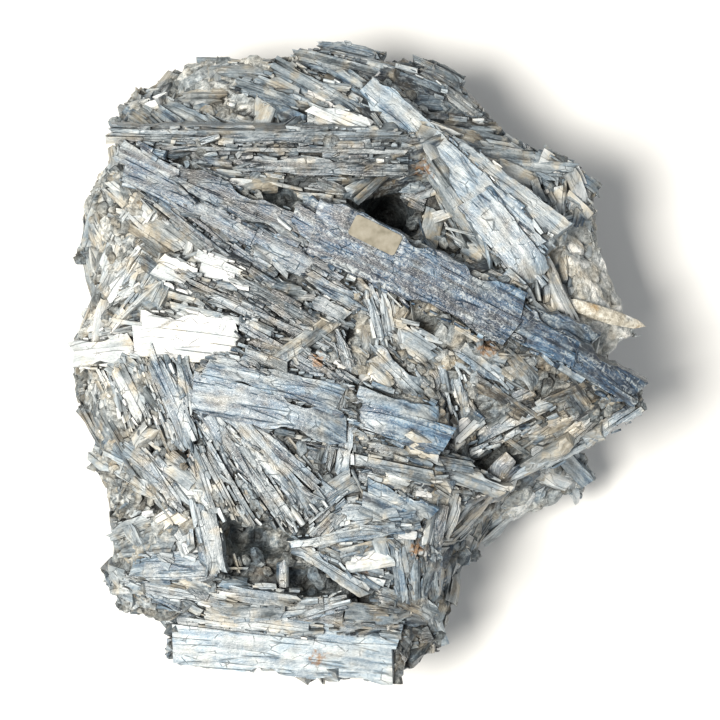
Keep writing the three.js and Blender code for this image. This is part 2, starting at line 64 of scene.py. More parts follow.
# The large blades: from, to, width, thickness, roll in degrees and the width of the strips that each is
# split into, in millimetres, then how pale, how blue and how tan each one is, from 0 to 1.
BLADES = [
    # the long blue blade, in two lengths, and the label's seat on its first
    ((-17, 56, 117), (64, 16, 115), 23, 10, 4, 8, 0.2, 1.0, 0),
    ((46, 27, 115), (90, 6, 109), 18, 10, 6, 8, 0.24, 1.0, 0),
    ((60, 20, 113), (112, -12, 101), 13, 10, 8, 6, 0.27, 1.0, 0.05),
    ((-25, 61, 115), (-11, 53, 117.6), 15, 9, 4, 4, 0.36, 0.85, 0),
    # left blue blade
    ((-70, 76, 110), (-8, 46, 114), 11, 9, -4, 5, 0.28, 0.6, 0),
    ((-93, 82, 104), (-6, 36, 114), 15, 9, 5, 6, 0.34, 0.65, 0),
    ((-90, 76, 103), (-38, 38, 110), 5, 7, 14, 1.3, 0.3, 0.4, 0),
    # broad far blade
    ((33, 86, 101), (78, 50, 106.5), 18, 8, -4, 8, 0.66, 0.5, 0),
    ((4, 112, 95), (70, 46, 108), 14, 8, 5, 9, 0.62, 0.8, 0),
    ((45, 66, 106), (71, 34, 109), 15, 8, 2, 8, 0.58, 0.6, 0),
    ((-6, 120, 86), (32, 88, 98), 10, 8, -8, 3, 0.6, 0.4, 0),
    # cross bar
    ((-97, 92, 102), (20, 91, 104), 6, 9, 22, 1.3, 0.5, 0.25, 0),
    ((-84, 86, 103), (20, 84, 106), 6, 9, 12, 1.5, 0.38, 0.2, 0),
    ((-46, 80, 105), (20, 78, 107), 7, 9, 8, 1.6, 0.34, 0.2, 0),
    ((32, 87, 90), (88, 82, 85), 9, 8, -10, 2, 0.5, 0.25, 0),
    ((30, 97, 86), (54, 96, 82), 9, 8, -14, 3, 0.55, 0.2, 0.1),
    # far sheaf
    ((-36, 124, 78), (6, 96, 98), 10, 8, -6, 2, 0.55, 0.3, 0),
    ((-26, 128, 74), (12, 117, 82), 10, 8, -12, 2, 0.5, 0.35, 0),
    ((-16, 134, 66), (8, 128, 70), 9, 8, -16, 2.5, 0.5, 0.3, 0),
    ((-20, 103, 96), (0, 94, 101), 11, 7, 2, 4, 0.8, 0.2, 0.05),
    ((-50, 116, 82), (-24, 105, 92), 6, 7, -8, 1.5, 0.45, 0.3, 0),
    ((12, 120, 84), (34, 112, 82), 7, 7, -8, 2, 0.5, 0.3, 0),
    ((22, 126, 72), (42, 116, 72), 13, 9, -20, 2.5, 0.3, 0.2, 0),
    # far left lumps
    ((-86, 110, 76), (-60, 97, 92), 8, 7, -8, 2.5, 0.6, 0.2, 0),
    # right flank
    ((72, 84, 87), (96, 70, 80), 12, 9, -12, 3, 0.55, 0.3, 0),
    ((70, 76, 89), (73, 66, 92), 5, 6, 0, 2, 0.6, 0.2, 0),
    ((80, 74, 87), (79, 62, 90), 5, 6, 6, 2, 0.6, 0.3, 0.1),
    # weathered faces on the right
    ((72, 52, 95), (81, 26, 92), 13, 9, -4, 6, 0.55, 0.1, 0.4),
    # prow
    ((56, -46, 86), (93, -27, 92), 6, 9, 18, 1.5, 0.72, 0.25, 0.05),
    ((90, -28, 92), (110, -15, 96.5), 7, 8, 14, 2, 0.5, 0.3, 0.1),
    ((46, -28, 96), (76, -14, 100), 8, 8, -4, 3, 0.5, 0.4, 0),
    ((42, -33, 92), (72, -20, 96), 5, 8, 8, 1.6, 0.75, 0.2, 0),
    # middle, between the long blade and the flat plates
    ((14, 13, 113), (29, 4, 110), 10, 8, 4, 3.5, 0.6, 0.3, 0.1),
    ((9, 30, 116), (12, 10, 113), 5, 8, -6, 2.5, 0.65, 0.2, 0),
    ((4, 27, 116), (8, 10, 114), 4, 8, 8, 2, 0.6, 0.2, 0),
    ((30, 0, 108), (35, -17, 106), 7, 8, -6, 3, 0.6, 0.3, 0),
    ((37, -2, 106), (41, -15, 104), 4, 8, 10, 2, 0.6, 0.3, 0),
    ((-9, 14, 117), (-2, -6, 116), 5, 8, -4, 2, 0.45, 0.2, 0.1),
    ((-18, 26, 116), (-4, 18, 116), 7, 12, 4, 3, 0.5, 0.2, 0.1),
    ((36, 10, 108), (57, -5, 104), 7, 8, 6, 3, 0.5, 0.5, 0),
    ((6, 6, 113), (24, -11, 111), 10, 8, 6, 3.5, 0.55, 0.3, 0.1),
    ((-20, 36, 115), (-2, 26, 116), 7, 8, -4, 3, 0.45, 0.4, 0),
    # flat plates in the middle
    ((-58, 0, 119), (-6, -12, 121), 11, 8, -3, 6, 0.5, 0.6, 0),
    ((-63, -9, 118), (-4, -25, 121), 15, 9, 4, 8, 0.53, 0.5, 0),
    ((0, -15, 119), (34, -25, 116.6), 19, 10, 3, 9, 0.46, 0.7, 0),
    ((-6, -22, 118), (-9, -43, 115), 9, 8, 0, 2.5, 0.6, 0.4, 0),
    ((-45, 6, 120), (-36, 2, 121), 8, 7, -4, 4, 0.35, 0.4, 0),
    ((-8, -34, 115), (30, -42, 112), 9, 9, 8, 2.5, 0.5, 0.3, 0.15),
    # white plates on the left
    ((-87, 14, 112), (-46, 9, 116), 19, 9, 2, 9, 0.98, 0.1, 0),
    ((-79, 41, 109), (-65, 34, 112), 10, 8, 2, 5, 0.95, 0.05, 0),
    ((-63, 41, 111), (-47, 35, 113), 9, 8, 2, 5, 0.95, 0.05, 0),
    ((-114, 6, 94), (-89, 8, 105), 12, 9, 0, 5, 0.9, 0.1, 0.2),
    # dark needles
    ((-68, 34, 113), (-12, 8, 117), 5, 9, 14, 0.9, 0.28, 0.15, 0),
    ((-48, 35, 113), (-11, 14, 116), 5, 9, -12, 0.9, 0.25, 0.1, 0),
    ((-42, 30, 113), (-6, 4, 117), 5, 9, 10, 1.0, 0.3, 0.1, 0.1),
    ((-58, 28, 114), (-40, 19, 116), 6, 8, 4, 1.6, 0.5, 0.2, 0),
    ((-46, 16, 117), (-8, -6, 119), 7, 9, 12, 1.2, 0.35, 0.3, 0),
    ((-26, 8, 118), (-4, -8, 119), 5, 9, 16, 1.0, 0.3, 0.2, 0),
    ((-84, 68, 103), (-42, 34, 111), 5, 8, 16, 1.0, 0.3, 0.2, 0),
    # needles below the white plates
    ((-80, 2, 114), (-65, -31, 117), 10, 8, 4, 1.6, 0.58, 0.35, 0),
    ((-85, 3, 112), (-72, -28, 115), 4, 8, 8, 1.2, 0.6, 0.2, 0),
    ((-70, 3, 115), (-64, -16, 117), 7, 8, -4, 2, 0.5, 0.3, 0),
    ((-95, 0, 106), (-84, -20, 111), 8, 8, 6, 1.6, 0.7, 0.1, 0.2),
    # the fan
    ((-62, -12, 117), (-26, -61, 117), 6, 9, 6, 1.8, 0.54, 0.3, 0),
    ((-54, -13, 118), (-17, -55, 118), 9, 9, -3, 3, 0.66, 0.3, 0),
    ((-58, -20, 117), (-29, -62, 116), 5, 9, 10, 1.5, 0.36, 0.3, 0),
    ((-60, -26, 116), (-39, -62, 115), 5, 9, 4, 1.5, 0.55, 0.25, 0),
    ((-60, -32, 115), (-47, -57, 114), 5, 9, -6, 1.5, 0.6, 0.25, 0),
    ((-64, -32, 114), (-56, -55, 113), 5, 9, 6, 1.5, 0.6, 0.2, 0.1),
    ((-64, -10, 117), (-50, -32, 117), 7, 8, 4, 2.5, 0.54, 0.35, 0),
    ((-42, -24, 118), (-16, -48, 118), 8, 9, -5, 3, 0.44, 0.4, 0),
    # left margin
    ((-94, -4, 104), (-88, -24, 108), 6, 8, -6, 1.2, 0.6, 0.2, 0.2),
    ((-92, -30, 106), (-76, -44, 110), 7, 8, -4, 1.4, 0.6, 0.35, 0),
    ((-84, -36, 109), (-70, -54, 112), 7, 8, 6, 1.4, 0.5, 0.3, 0.1),
    ((-99, -66, 94), (-82, -60, 105), 8, 8, 4, 1.6, 0.7, 0.2, 0.1),
    # near left corner
    ((-60, -55, 113), (-55, -81, 111), 8, 9, 2, 2.5, 0.6, 0.35, 0),
    ((-89, -78, 105), (-54, -77, 110), 11, 9, 4, 5, 0.62, 0.5, 0),
    ((-92, -84, 100), (-50, -92, 103), 6, 8, 8, 1.6, 0.65, 0.25, 0),
    ((-85, -86, 101), (-61, -97, 98), 6, 8, 4, 2, 0.5, 0.4, 0),
    ((-54, -88, 104), (-24, -92, 103), 7, 8, 6, 2, 0.55, 0.3, 0),
    ((-50, -97, 98), (-14, -94, 99), 7, 8, 12, 1.8, 0.6, 0.3, 0),
    ((-24, -97, 98), (-6, -91, 100), 7, 8, -4, 2, 0.5, 0.3, 0),
    ((-8, -98, 95), (18, -99, 92), 7, 8, 8, 2, 0.5, 0.3, 0),
    # near middle
    ((-26, -68, 115), (18, -63, 113), 4, 8, 2, 2, 0.6, 0.45, 0),
    ((-25, -70, 114), (4, -88, 110), 7, 9, 4, 3, 0.6, 0.55, 0),
    ((2, -49, 115), (27, -60, 110), 13, 9, 4, 6, 0.5, 0.7, 0),
    ((-8, -57, 114), (16, -54, 113), 9, 8, -4, 4, 0.6, 0.4, 0),
    ((-20, -60, 114), (-8, -50, 115), 7, 8, 6, 2.5, 0.55, 0.3, 0),
    ((14, -73, 108), (17, -92, 103), 5, 8, 4, 2, 0.5, 0.3, 0),
    ((21, -76, 106), (22, -95, 100), 5, 8, -6, 2, 0.5, 0.3, 0),
    ((27, -76, 104), (29, -93, 98), 6, 8, 6, 2, 0.5, 0.3, 0),
    ((8, -87, 105), (31, -97, 98), 9, 8, 6, 3, 0.45, 0.3, 0.2),
    ((-6, -76, 110), (10, -80, 108), 7, 8, -4, 3, 0.55, 0.3, 0.2),
    ((4, -31, 115), (46, -39, 106), 6, 8, 8, 1.6, 0.4, 0.3, 0),
    ((30, -39, 103), (59, -49, 92), 8, 9, 6, 2, 0.72, 0.2, 0),
    # near slab
    ((-76, -105, 72), (18, -114, 74), 28, 14, 6, 14, 0.72, 0.6, 0),
    ((-66, -98, 76), (-18, -104, 78), 8, 9, 10, 1.6, 0.7, 0.3, 0.1),
    ((-10, -102, 80), (14, -104, 78), 8, 9, 12, 2, 0.5, 0.3, 0.1),
]

# The camera, in millimetres from the blades' origin, metres and degrees.
CAMERA_AIM = (0, 4, 85)
CAMERA_DISTANCE = 1.0
CAMERA_ELEVATION = 88
CAMERA_LENS = 125

# The two lamps: the way to each, how far off and how wide it is in metres, and its power. Then the strength
# of the light all round.
KEY_WAY = (-0.34, -0.1, 0.93)
KEY_DISTANCE = 1.7
KEY_SIZE = 0.55
KEY_POWER = 42
FILL_WAY = (0.6, -0.3, 0.7)
FILL_DISTANCE = 2.0
FILL_SIZE = 1.6
FILL_POWER = 3
SURROUND_STRENGTH = 0.32

# In millimetres: the rock's facets and those of the calm skin under it, both skins' facets while they are
# swelled and shrunk, the half width of the gaps that this fills, and how much more they shrink than swell.
ROCK_FACET = 1.5
CALM_FACET = 4
SWELL_FACET = 2.5
SHRINK_FACET = 2.0
GAP_REACH = 4.5
SHRINK_MORE = 0.3

# Where weathered rock shows bare: a middle and a radius.
CALM_ROCK = [((92, 30, 84), 24), ((100, 6, 74), 14), ((53, -37, 94), 9), ((9, 64, 92), 10)]

# Where few blades grow over the rock: a middle, a radius and the share of them left out.
BARE_ROCK = [
    ((82, -8, 99), 20, 0.8),
    ((10, 6, 112), 24, 0.6),
    ((44, -4, 104), 12, 0.6),
    ((-66, 112, 80), 32, 0.6),
    ((72, -46, 44), 38, 0.6),
    ((-104, 56, 88), 24, 0.5),
    ((-106, 0, 90), 20, 0.5),
    ((-92, -26, 104), 18, 0.5),
    ((22, -44, 108), 10, 0.6),
]

# Hollows in the rock: a middle, a radius and a depth.
HOLLOWS = [
    ((10, 61, 95), 12, 26),
    ((-31, 66, 106), 7, 9),
    ((-73, 80, 100), 5, 7),
    ((-47, -66, 106), 8, 13),
    ((-36, -67, 106), 8, 13),
    ((-25, -68, 106), 7, 11),
    ((-24, -84, 102), 7, 10),
    ((-12, -86, 100), 7, 10),
    ((1, -88, 98), 7, 9),
    ((50, -37, 94), 10, 10),
    ((37, -40, 100), 6, 7),
    ((-68, -30, 112), 5, 7),
    ((26, 18, 112), 5, 6),
    ((-24, -46, 112), 5, 6),
]

# Where lumps of the matrix stand out of the rock: a middle, a radius, how many, their size and whether they
# are round (2, 3) or angular (0, 1).
LUMPS = [
    ((14, 8, 112), 27, 90, 6.5, (0, 1)),
    ((46, -4, 104), 14, 40, 5, (0, 1)),
    ((88, 44, 86), 20, 44, 9, (0, 1)),
    ((100, 40, 56), 36, 80, 9, (1, 2, 3)),
    ((82, -8, 100), 24, 110, 4, (0, 1)),
    ((22, -44, 108), 13, 40, 4.5, (0, 1)),
    ((8, -66, 106), 20, 40, 5, (0, 1)),
    ((-66, 112, 80), 32, 46, 10, (0, 1)),
    ((24, 118, 78), 18, 30, 6, (0, 1, 3)),
    ((92, 70, 80), 20, 30, 7, (0, 1, 3)),
    ((-104, 50, 88), 30, 90, 5, (0, 1, 2)),
    ((-106, 0, 90), 30, 80, 5, (0, 1, 2)),
    ((-98, -50, 92), 28, 90, 4.5, (0, 1)),
    ((-92, -26, 104), 20, 60, 5, (0, 1)),
    ((68, -44, 46), 42, 150, 7, (0, 1, 2, 3)),
    ((28, -106, 60), 18, 40, 6, (0, 1, 3)),
    ((-90, -90, 80), 26, 60, 5.5, (0, 1)),
    ((-20, -10, 112), 100, 220, 5, (0, 1)),
    ((0, 0, -60), 140, 420, 9, (0, 1, 2, 3)),
]

# The cream spike on the right flank: its kind of lump, its middle, a place at its tip, its size and look.
SPIKE_KIND = 2
SPIKE = ((95, 22.5, 92), (113, 17.5, 87.5), (6.5, 38, 4.5), (0.85, 0, 1))

# How pale, how blue and how tan the rock is, how much that counts, and where its look changes: a middle, a
# radius and the look there.
PLAIN_LOOK = (0.5, 0.3, 0.2)
PLAIN_WEIGHT = 0.05
ZONES = [
    ((-70, 112, 78), 28, (0.64, 0.2, 0.3)),
    ((-30, 112, 86), 22, (0.6, 0.2, 0.25)),
    ((-40, 72, 108), 22, (0.6, 0.12, 0.12)),
    ((24, 115, 80), 18, (0.45, 0.25, 0.15)),
    ((80, 76, 86), 24, (0.68, 0.3, 0.25)),
    # painted shade: the big hollow is given a dark look
    ((9, 64, 96), 13, (0.12, 0.1, 0.2)),
    ((-104, 60, 90), 26, (0.65, 0.15, 0.35)),
    ((-76, 42, 108), 16, (0.7, 0.1, 0.3)),
    ((-106, 8, 96), 22, (0.72, 0.12, 0.3)),
    ((-40, 18, 114), 15, (0.22, 0.15, 0.1)),
    ((-96, -45, 98), 26, (0.6, 0.2, 0.35)),
    ((14, 8, 112), 26, (0.6, 0.15, 0.5)),
    ((90, 26, 86), 26, (0.85, 0.05, 0.3)),
    ((82, -8, 100), 24, (0.34, 0.12, 0.5)),
    # painted shade: the hollow under the prow is given a dark look
    ((53, -37, 92), 12, (0.25, 0.1, 0.3)),
    ((22, -44, 108), 14, (0.75, 0.12, 0.6)),
    ((-75, -45, 108), 20, (0.55, 0.3, 0.3)),
    ((-82, -88, 100), 22, (0.62, 0.2, 0.25)),
    ((-30, -85, 104), 28, (0.5, 0.3, 0.2)),
    ((12, -70, 108), 24, (0.58, 0.4, 0.3)),
    ((32, -90, 92), 20, (0.5, 0.3, 0.2)),
    ((72, -45, 44), 40, (0.72, 0.45, 0.2)),
    ((28, -108, 62), 14, (0.3, 0.15, 0.4)),
    ((-30, -110, 62), 36, (0.8, 0.3, 0.08)),
]

# Spots of rust: a middle and a radius.
STAINS = [
    ((24.5, 78.5, 100), 4.5),
    ((-16, 3, 118), 3.5),
    ((2, -82, 104), 3.5),
    ((22, -71, 106), 3.5),
    ((-17, -116, 75), 4),
    ((-67, -32, 111), 3),
    ((50, 9, 107), 5),
]

# Kyanite's colours, from its darkest streak to its palest.
GREY_KYANITE = [(0.0, "#20262a"), (0.3, "#5a6468"), (0.6, "#939b9e"), (0.85, "#c8cecf"), (1.0, "#ececea")]
BLUE_KYANITE = [(0.0, "#14273b"), (0.3, "#30526f"), (0.6, "#6e8ca3"), (0.85, "#b2c3cd"), (1.0, "#dfe7ea")]
TAN_KYANITE = [(0.0, "#37332c"), (0.3, "#7a7365"), (0.6, "#aca594"), (0.85, "#d5d0c1"), (1.0, "#eeeadd")]

# The noises on a blade, drawn out along it: length and width in millimetres, detail, and where they start.
BLADE_NOISES = [
    (9, 4, 3, 11),  # patches
    (26, 1.9, 3, 3),  # streaks
    (1.3, 0.6, 3, 5),  # flecks
    (7, 0.4, 2, 9),  # hairs
    (16, 6.5, 2, 17),  # clouds of blue
    (3.2, 1.1, 4, 23),  # scuffs
]

# The cuts that shape each kind of shard: a place and a way out for each slanting plane.
SHARDS = [
    [
        ((0.25, 0, 0), (1, 0, 0.6)),
        ((-0.3, 0, 0), (-1, 0, 0.9)),
        ((0.5, 0.7, 0), (1, 0.6, 0)),
        ((0, 0.1, 0), (0.5, -1, 0.3)),
    ],
    [
        ((0.35, 0, 0), (1, 0, 1)),
        ((-0.1, 0, 0), (-0.35, 0, 1)),
        ((0, 0.9, 0), (-0.6, 1, 0.4)),
        ((0, 0, 0), (-0.6, -1, 0.3)),
    ],
    [
        ((0.0, 0, 0), (0.3, 0.1, 1)),
        ((-0.35, 0, 0), (-1, 0, 0.5)),
        ((0, 0.85, 0), (0.9, 1, 0.3)),
        ((0.3, 0, 0), (1, -0.5, 0)),
    ],
    [
        ((0.4, 0, 0), (1, 0.15, 0.5)),
        ((-0.4, 1, 0), (-1, 0.3, 0.4)),
        ((0, 0.8, 0), (0.1, 0.5, 1)),
        ((0, 0.1, 0), (0.9, -1, 0)),
    ],
    [
        ((0.1, 0, 0), (0.5, 0, 1)),
        ((-0.2, 0, 0), (-0.5, 0, 1)),
        ((0, 0.95, 0), (0.4, 1, 0.6)),
        ((0, 0.06, 0), (-0.4, -1, 0.4)),
    ],
    [
        ((0.3, 1, 0), (1, 0.2, 0.5)),
        ((-0.3, 1, 0), (-1, 0.25, 0.3)),
        ((0, 0.15, 0), (0.1, -0.6, 1)),
        ((0.1, 0, 0), (0.2, 0, 1)),
    ],
]

# The same for needles, which run out to splintered ends.
NEEDLES = [
    [((0.5, 0.6, 0), (1, 0.25, 0)), ((-0.5, 0.3, 0), (-1, -0.3, 0)), ((0.1, 0, 0), (0.6, 0, 1))],
    [((-0.5, 0.5, 0), (-1, 0.3, 0)), ((0, 0.02, 0), (0.5, -1, 0)), ((-0.1, 0, 0), (-0.7, 0, 1))],
    [((0.5, 0.75, 0), (1, 0.6, 0)), ((0.5, 0.1, 0), (1, -0.4, 0)), ((0, 0.7, 0), (0.2, 0.3, 1))],
]

# Each kind of lump: its flat sides as a depth and a way, how finely its ball is divided, how uneven it is,
# and its draw. Two angular, two round.
LUMP_KINDS = [
    (
        [(0.3, (0.4, 0.2, 1)), (0.3, (-0.6, 0.3, 0.7)), (0.34, (0.9, -0.4, 0.3)), (0.36, (-0.3, -1, 0.4))],
        1,
        0.09,
        3,
    ),
    (
        [(0.28, (-0.2, 0.1, 1)), (0.33, (0.8, 0.5, 0.6)), (0.36, (0.1, -1, 0.5)), (0.38, (-1, 0, 0.2))],
        1,
        0.09,
        5,
    ),
    ([(0.42, (0.1, 0.3, 1))], 2, 0.07, 7),
    ([(0.42, (0.8, -0.2, 0.5))], 2, 0.08, 11),
]

# How blades are built: the length between their rows of corners, how far their strips lean in degrees, and
# how slanting their ends are.
LARGE_BUILD = (1.7, 3.0, 0.35)
BROAD_BUILD = (3.6, 7.0, 0.7)
SMALL_BUILD = (3.6, 9.0, 0.7)

# The blades that cover the rock: how many places are tried, then the least and the most of their length, of
# their width and of their strips' width.
BROAD_TRIES = 1300
BROAD_SIZES = ((12, 38), (6, 17), (1.0, 4.0))
SMALL_TRIES = 1500
SMALL_SIZES = ((6, 18), (2.5, 7), (0.8, 2.5))

# The height that parts the broad blades from those low on the flanks.
FLANK_TOP = 55

# Shards, and needles above a height: how many places are tried, then their width, the least and the most of
# how many times as long they are, and of how far out they lie.
SHARD_TRIES = 3400
SHARD_SIZES = (3.9, (1.2, 2.9), (-1.0, 0.4))
NEEDLE_TRIES = 1900
NEEDLE_SIZES = (0.9, (7, 18), (-0.4, 0.6))
NEEDLE_FLOOR = 85

# Lumps: how many places are tried, and the angle in degrees under which their facets are smooth.
LUMP_TRIES = 9000
LUMP_SMOOTHING = 24

# How far along a blade's edge its first splinter may be, and how far apart they are.
SPLINTER_STEP = 3
SPLINTER_GAP = 2.9

# The crystals of the rock: their size, that of the finer ones in them, and the share of their length by which
# both are squeezed before they are laid out, so that they are long.
CRYSTAL = 6.5
FINE_CRYSTAL = 2.8
CRYSTAL_SQUEEZE = 0.74

# How far from a large blade the rock takes on its way, and the patches whose blades, lumps or shards share a
# way of their own or a look.
BLADE_REACH = 15
BLADE_PATCH = 26
ROCK_PATCH = 34
LUMP_PATCH = 15
LOOK_PATCH = 9

# Kinds of node and settings that the materials share.
MATHS = "ShaderNodeMath"
VECTORS = "ShaderNodeVectorMath"
SPAN = "ShaderNodeMapRange"
BLEND = "ShaderNodeMix"
NOISE = "ShaderNodeTexNoise"
TIMES = {"operation": "MULTIPLY"}
TIMES_IN_RANGE = {"operation": "MULTIPLY", "use_clamp": True}
TIMES_PLUS = {"operation": "MULTIPLY_ADD"}
TIMES_PLUS_IN_RANGE = {"operation": "MULTIPLY_ADD", "use_clamp": True}
COLOURS = {"data_type": "RGBA"}


# --- Places ---------------------------------------------------------------------------------------


def blade_axes(start, stop, roll):
    """Across, along and outward for a blade between two points of its outer face."""
    along = (Vector(stop) - Vector(start)).normalized()
    level = Vector((0, 0, 1)).cross(along).normalized()
    up = along.cross(level)
    turn = math.radians(roll)
    across = level * math.cos(turn) + up * math.sin(turn)
    outward = up * math.cos(turn) - level * math.sin(turn)
    return across, along, outward


def axes_of(start, stop, roll):
    """The same as an array, with across turned to the other side, so that the three are right-handed."""
    across, along, outward = blade_axes(start, stop, roll)
    return np.array((-across, along, outward))


def label_seat():
    """The middle of the label and its axes, in the blades' own millimetres."""
    start, stop, _, _, roll = BLADES[0][:5]
    across, along, outward = blade_axes(start, stop, roll)
    seat = Vector(start).lerp(Vector(stop), LABEL_ALONG)
    seat = seat + across * LABEL_ACROSS + outward * (LABEL_GAP + LABEL_THICKNESS / 2)
    return seat, across, along, outward


def blades_to_frame():
    """How far the blades' millimetres stand from the frame's, found from where the frame has the label."""
    low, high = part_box("paper_label")
    return (low + high) / 2 / MM - label_seat()[0]


SHIFT = blades_to_frame()


def in_frame(place):
    """A place given in the blades' millimetres, in the frame's."""
    return np.array(Vector(place) + SHIFT)


# --- Modelling ------------------------------------------------------------------------------------


def deselect():
    """Leaves object mode with nothing selected, so that an operator acts only on what is added next."""
    if bpy.context.object and bpy.context.object.mode != "OBJECT":
        bpy.ops.object.mode_set(mode="OBJECT")
    bpy.ops.object.select_all(action="DESELECT")


def select_edges(piece, wanted):
    """In edit mode, selects just the edges whose two ends pass the test."""
    bpy.ops.mesh.select_mode(type="EDGE")
    bpy.ops.mesh.select_all(action="DESELECT")
    bpy.ops.object.mode_set(mode="OBJECT")
    places = [corner.co for corner in piece.data.vertices]
    for edge in piece.data.edges:
        edge.select = wanted(*[places[end] for end in edge.vertices])
    bpy.ops.object.mode_set(mode="EDIT")


def shard_master(cuts, unevenness, seed):
    """A broken shard one unit wide, long and thick with its outer face at z = 0: a block cut back by slanting
    planes, each a place and a way, then made a little uneven. Returned as corners and triangles."""
    deselect()
    bpy.ops.mesh.primitive_cube_add(size=1, location=(0, 0.5, -0.5))
    shard = bpy.context.object
    bpy.ops.object.transform_apply(location=True)
    bpy.ops.object.mode_set(mode="EDIT")
    for place, way in cuts:
        bpy.ops.mesh.select_all(action="SELECT")
        bpy.ops.mesh.bisect(plane_co=place, plane_no=way, use_fill=True, clear_outer=True)
    bpy.ops.mesh.select_all(action="SELECT")
    bpy.ops.transform.vertex_random(offset=unevenness, uniform=0, normal=0, seed=seed)
    bpy.ops.mesh.normals_make_consistent(inside=False)
    bpy.ops.object.mode_set(mode="OBJECT")
    return shape_of(shard)


def lump_master(sides, divisions, unevenness, seed):
    """A lump of matrix about one unit across: a faceted ball made uneven, then cut flat where it broke."""
    deselect()
    bpy.ops.mesh.primitive_ico_sphere_add(subdivisions=divisions, radius=0.5)
    lump = bpy.context.object
    bpy.ops.object.mode_set(mode="EDIT")
    bpy.ops.mesh.select_all(action="SELECT")
    bpy.ops.transform.vertex_random(offset=unevenness, uniform=0, normal=0, seed=seed)
    for depth, way in sides:
        bpy.ops.mesh.select_all(action="SELECT")
        place = Vector(way).normalized() * depth
        bpy.ops.mesh.bisect(plane_co=place, plane_no=way, use_fill=True, clear_outer=True)
    bpy.ops.mesh.select_all(action="SELECT")
    bpy.ops.mesh.remove_doubles(threshold=0.06)
    bpy.ops.mesh.normals_make_consistent(inside=False)
    bpy.ops.object.mode_set(mode="OBJECT")
    return shape_of(lump)


def shape_of(piece):
    """A master's corners and triangles as arrays, and the master itself taken away."""
    piece.data.calc_loop_triangles()
    corners = np.array([corner.co for corner in piece.data.vertices])
    triangles = np.array([list(triangle.vertices) for triangle in piece.data.loop_triangles])
    bpy.data.objects.remove(piece)
    return corners, triangles


def seeded(number):
    """A draw of chances that is the same on every run."""
    return np.random.default_rng(number)


def piece_of(name, corners, triangles, maps, looks, groove_shades):
    """One flat-faced mesh from arrays: corners and a map in millimetres, a look and a groove with its share of
    painted shade each.
    """
    mesh = bpy.data.meshes.new(name)
    mesh.vertices.add(len(corners))
    mesh.vertices.foreach_set("co", (corners * MM).ravel())
    mesh.loops.add(triangles.size)
    mesh.loops.foreach_set("vertex_index", triangles.ravel())
    mesh.polygons.add(len(triangles))
    mesh.polygons.foreach_set("loop_start", np.arange(0, triangles.size, 3))
    mesh.update(calc_edges=True)
    mesh.polygons.foreach_set("use_smooth", np.zeros(len(triangles), bool))
    write_finish(mesh, triangles.ravel(), maps, looks, groove_shades)
    piece = bpy.data.objects.new(name, mesh)
    bpy.context.scene.collection.objects.link(piece)
    return piece


def write_finish(mesh, loops, maps, looks, groove_shades):
    """Writes what the stone's material reads: the map along and across, the look, and the grooves, which the
    kyanite darkens as painted shade.
    """
    layer = mesh.uv_layers.new(name="along_across")
    layer.data.foreach_set("uv", maps[loops].ravel())
    look = mesh.attributes.new("look", "FLOAT_VECTOR", "POINT")
    look.data.foreach_set("vector", np.clip(looks, 0, 1).ravel())
    groove_shade = mesh.attributes.new("groove_shade", "FLOAT", "POINT")
    groove_shade.data.foreach_set("value", groove_shades)


def joined(name, parts):
    """One piece from many small meshes, each given as corners, triangles, maps, looks and grooves with their
    painted shade.
    """
    starts = np.cumsum([0] + [len(part[0]) for part in parts])
    triangles = np.concatenate([part[1] + start for part, start in zip(parts, starts)])
    corners, maps, looks, groove_shades = (np.concatenate([part[i] for part in parts]) for i in (0, 2, 3, 4))
    return piece_of(name, corners, triangles, maps, looks, groove_shades)


def laid_shards(name, shapes, plots):
    """One mesh of many copies. A plot is a shape's number, an origin, across, along and outward, a size in
    millimetres and a look. Its map runs along and across each copy in millimetres."""
    draw = seeded(len(plots))
    parts = []
    for number, (shape, faces) in enumerate(shapes):
        mine = [plot for plot in plots if plot[0] == number]
        if not mine:
            continue
        origins = np.array([plot[1] for plot in mine])
        axes = np.array([plot[2] for plot in mine])
        sizes = np.array([plot[3] for plot in mine])
        local = shape[None] * sizes[:, None, :]
        placed = np.einsum("knj,kji->kni", local, axes) + origins[:, None, :]
        placed[..., 2] = np.maximum(placed[..., 2], 0)
        slide = draw.uniform(0, 900, (len(mine), 1, 2))
        flat = np.stack((local[..., 1], local[..., 0] + local[..., 2]), axis=-1) + slide
        looks = np.repeat(np.array([plot[4] for plot in mine]), len(shape), axis=0)
        steps = len(shape) * np.arange(len(mine))
        triangles = (faces[None] + steps[:, None, None]).reshape(-1, 3)
        groove_shades = np.zeros(len(looks))
        parts.append((placed.reshape(-1, 3), triangles, flat.reshape(-1, 2), looks, groove_shades))
    return joined(name, parts)


# --- Large blades ---------------------------------------------------------------------------------


def large_blades():
    """Every blade of the table as its start, axes, length, width, thickness, strip width and look, in the
    frame's millimetres."""
    made = []
    for start, stop, width, thickness, roll, strip, *look in BLADES:
        length = (Vector(stop) - Vector(start)).length
        axes = axes_of(start, stop, roll)
        made.append((in_frame(start), axes, length, width, thickness, strip, look))
    return made


def turned(axes, yaw, pitch, roll):
    """The same axes after a small turn about outward, then across, then along, in degrees."""
    across, along, outward = (Vector(axis) for axis in axes)
    turn = (
        Matrix.Rotation(math.radians(yaw), 3, outward)
        @ Matrix.Rotation(math.radians(pitch), 3, across)
        @ Matrix.Rotation(math.radians(roll), 3, along)
    )
    return np.array([turn @ across, turn @ along, turn @ outward])


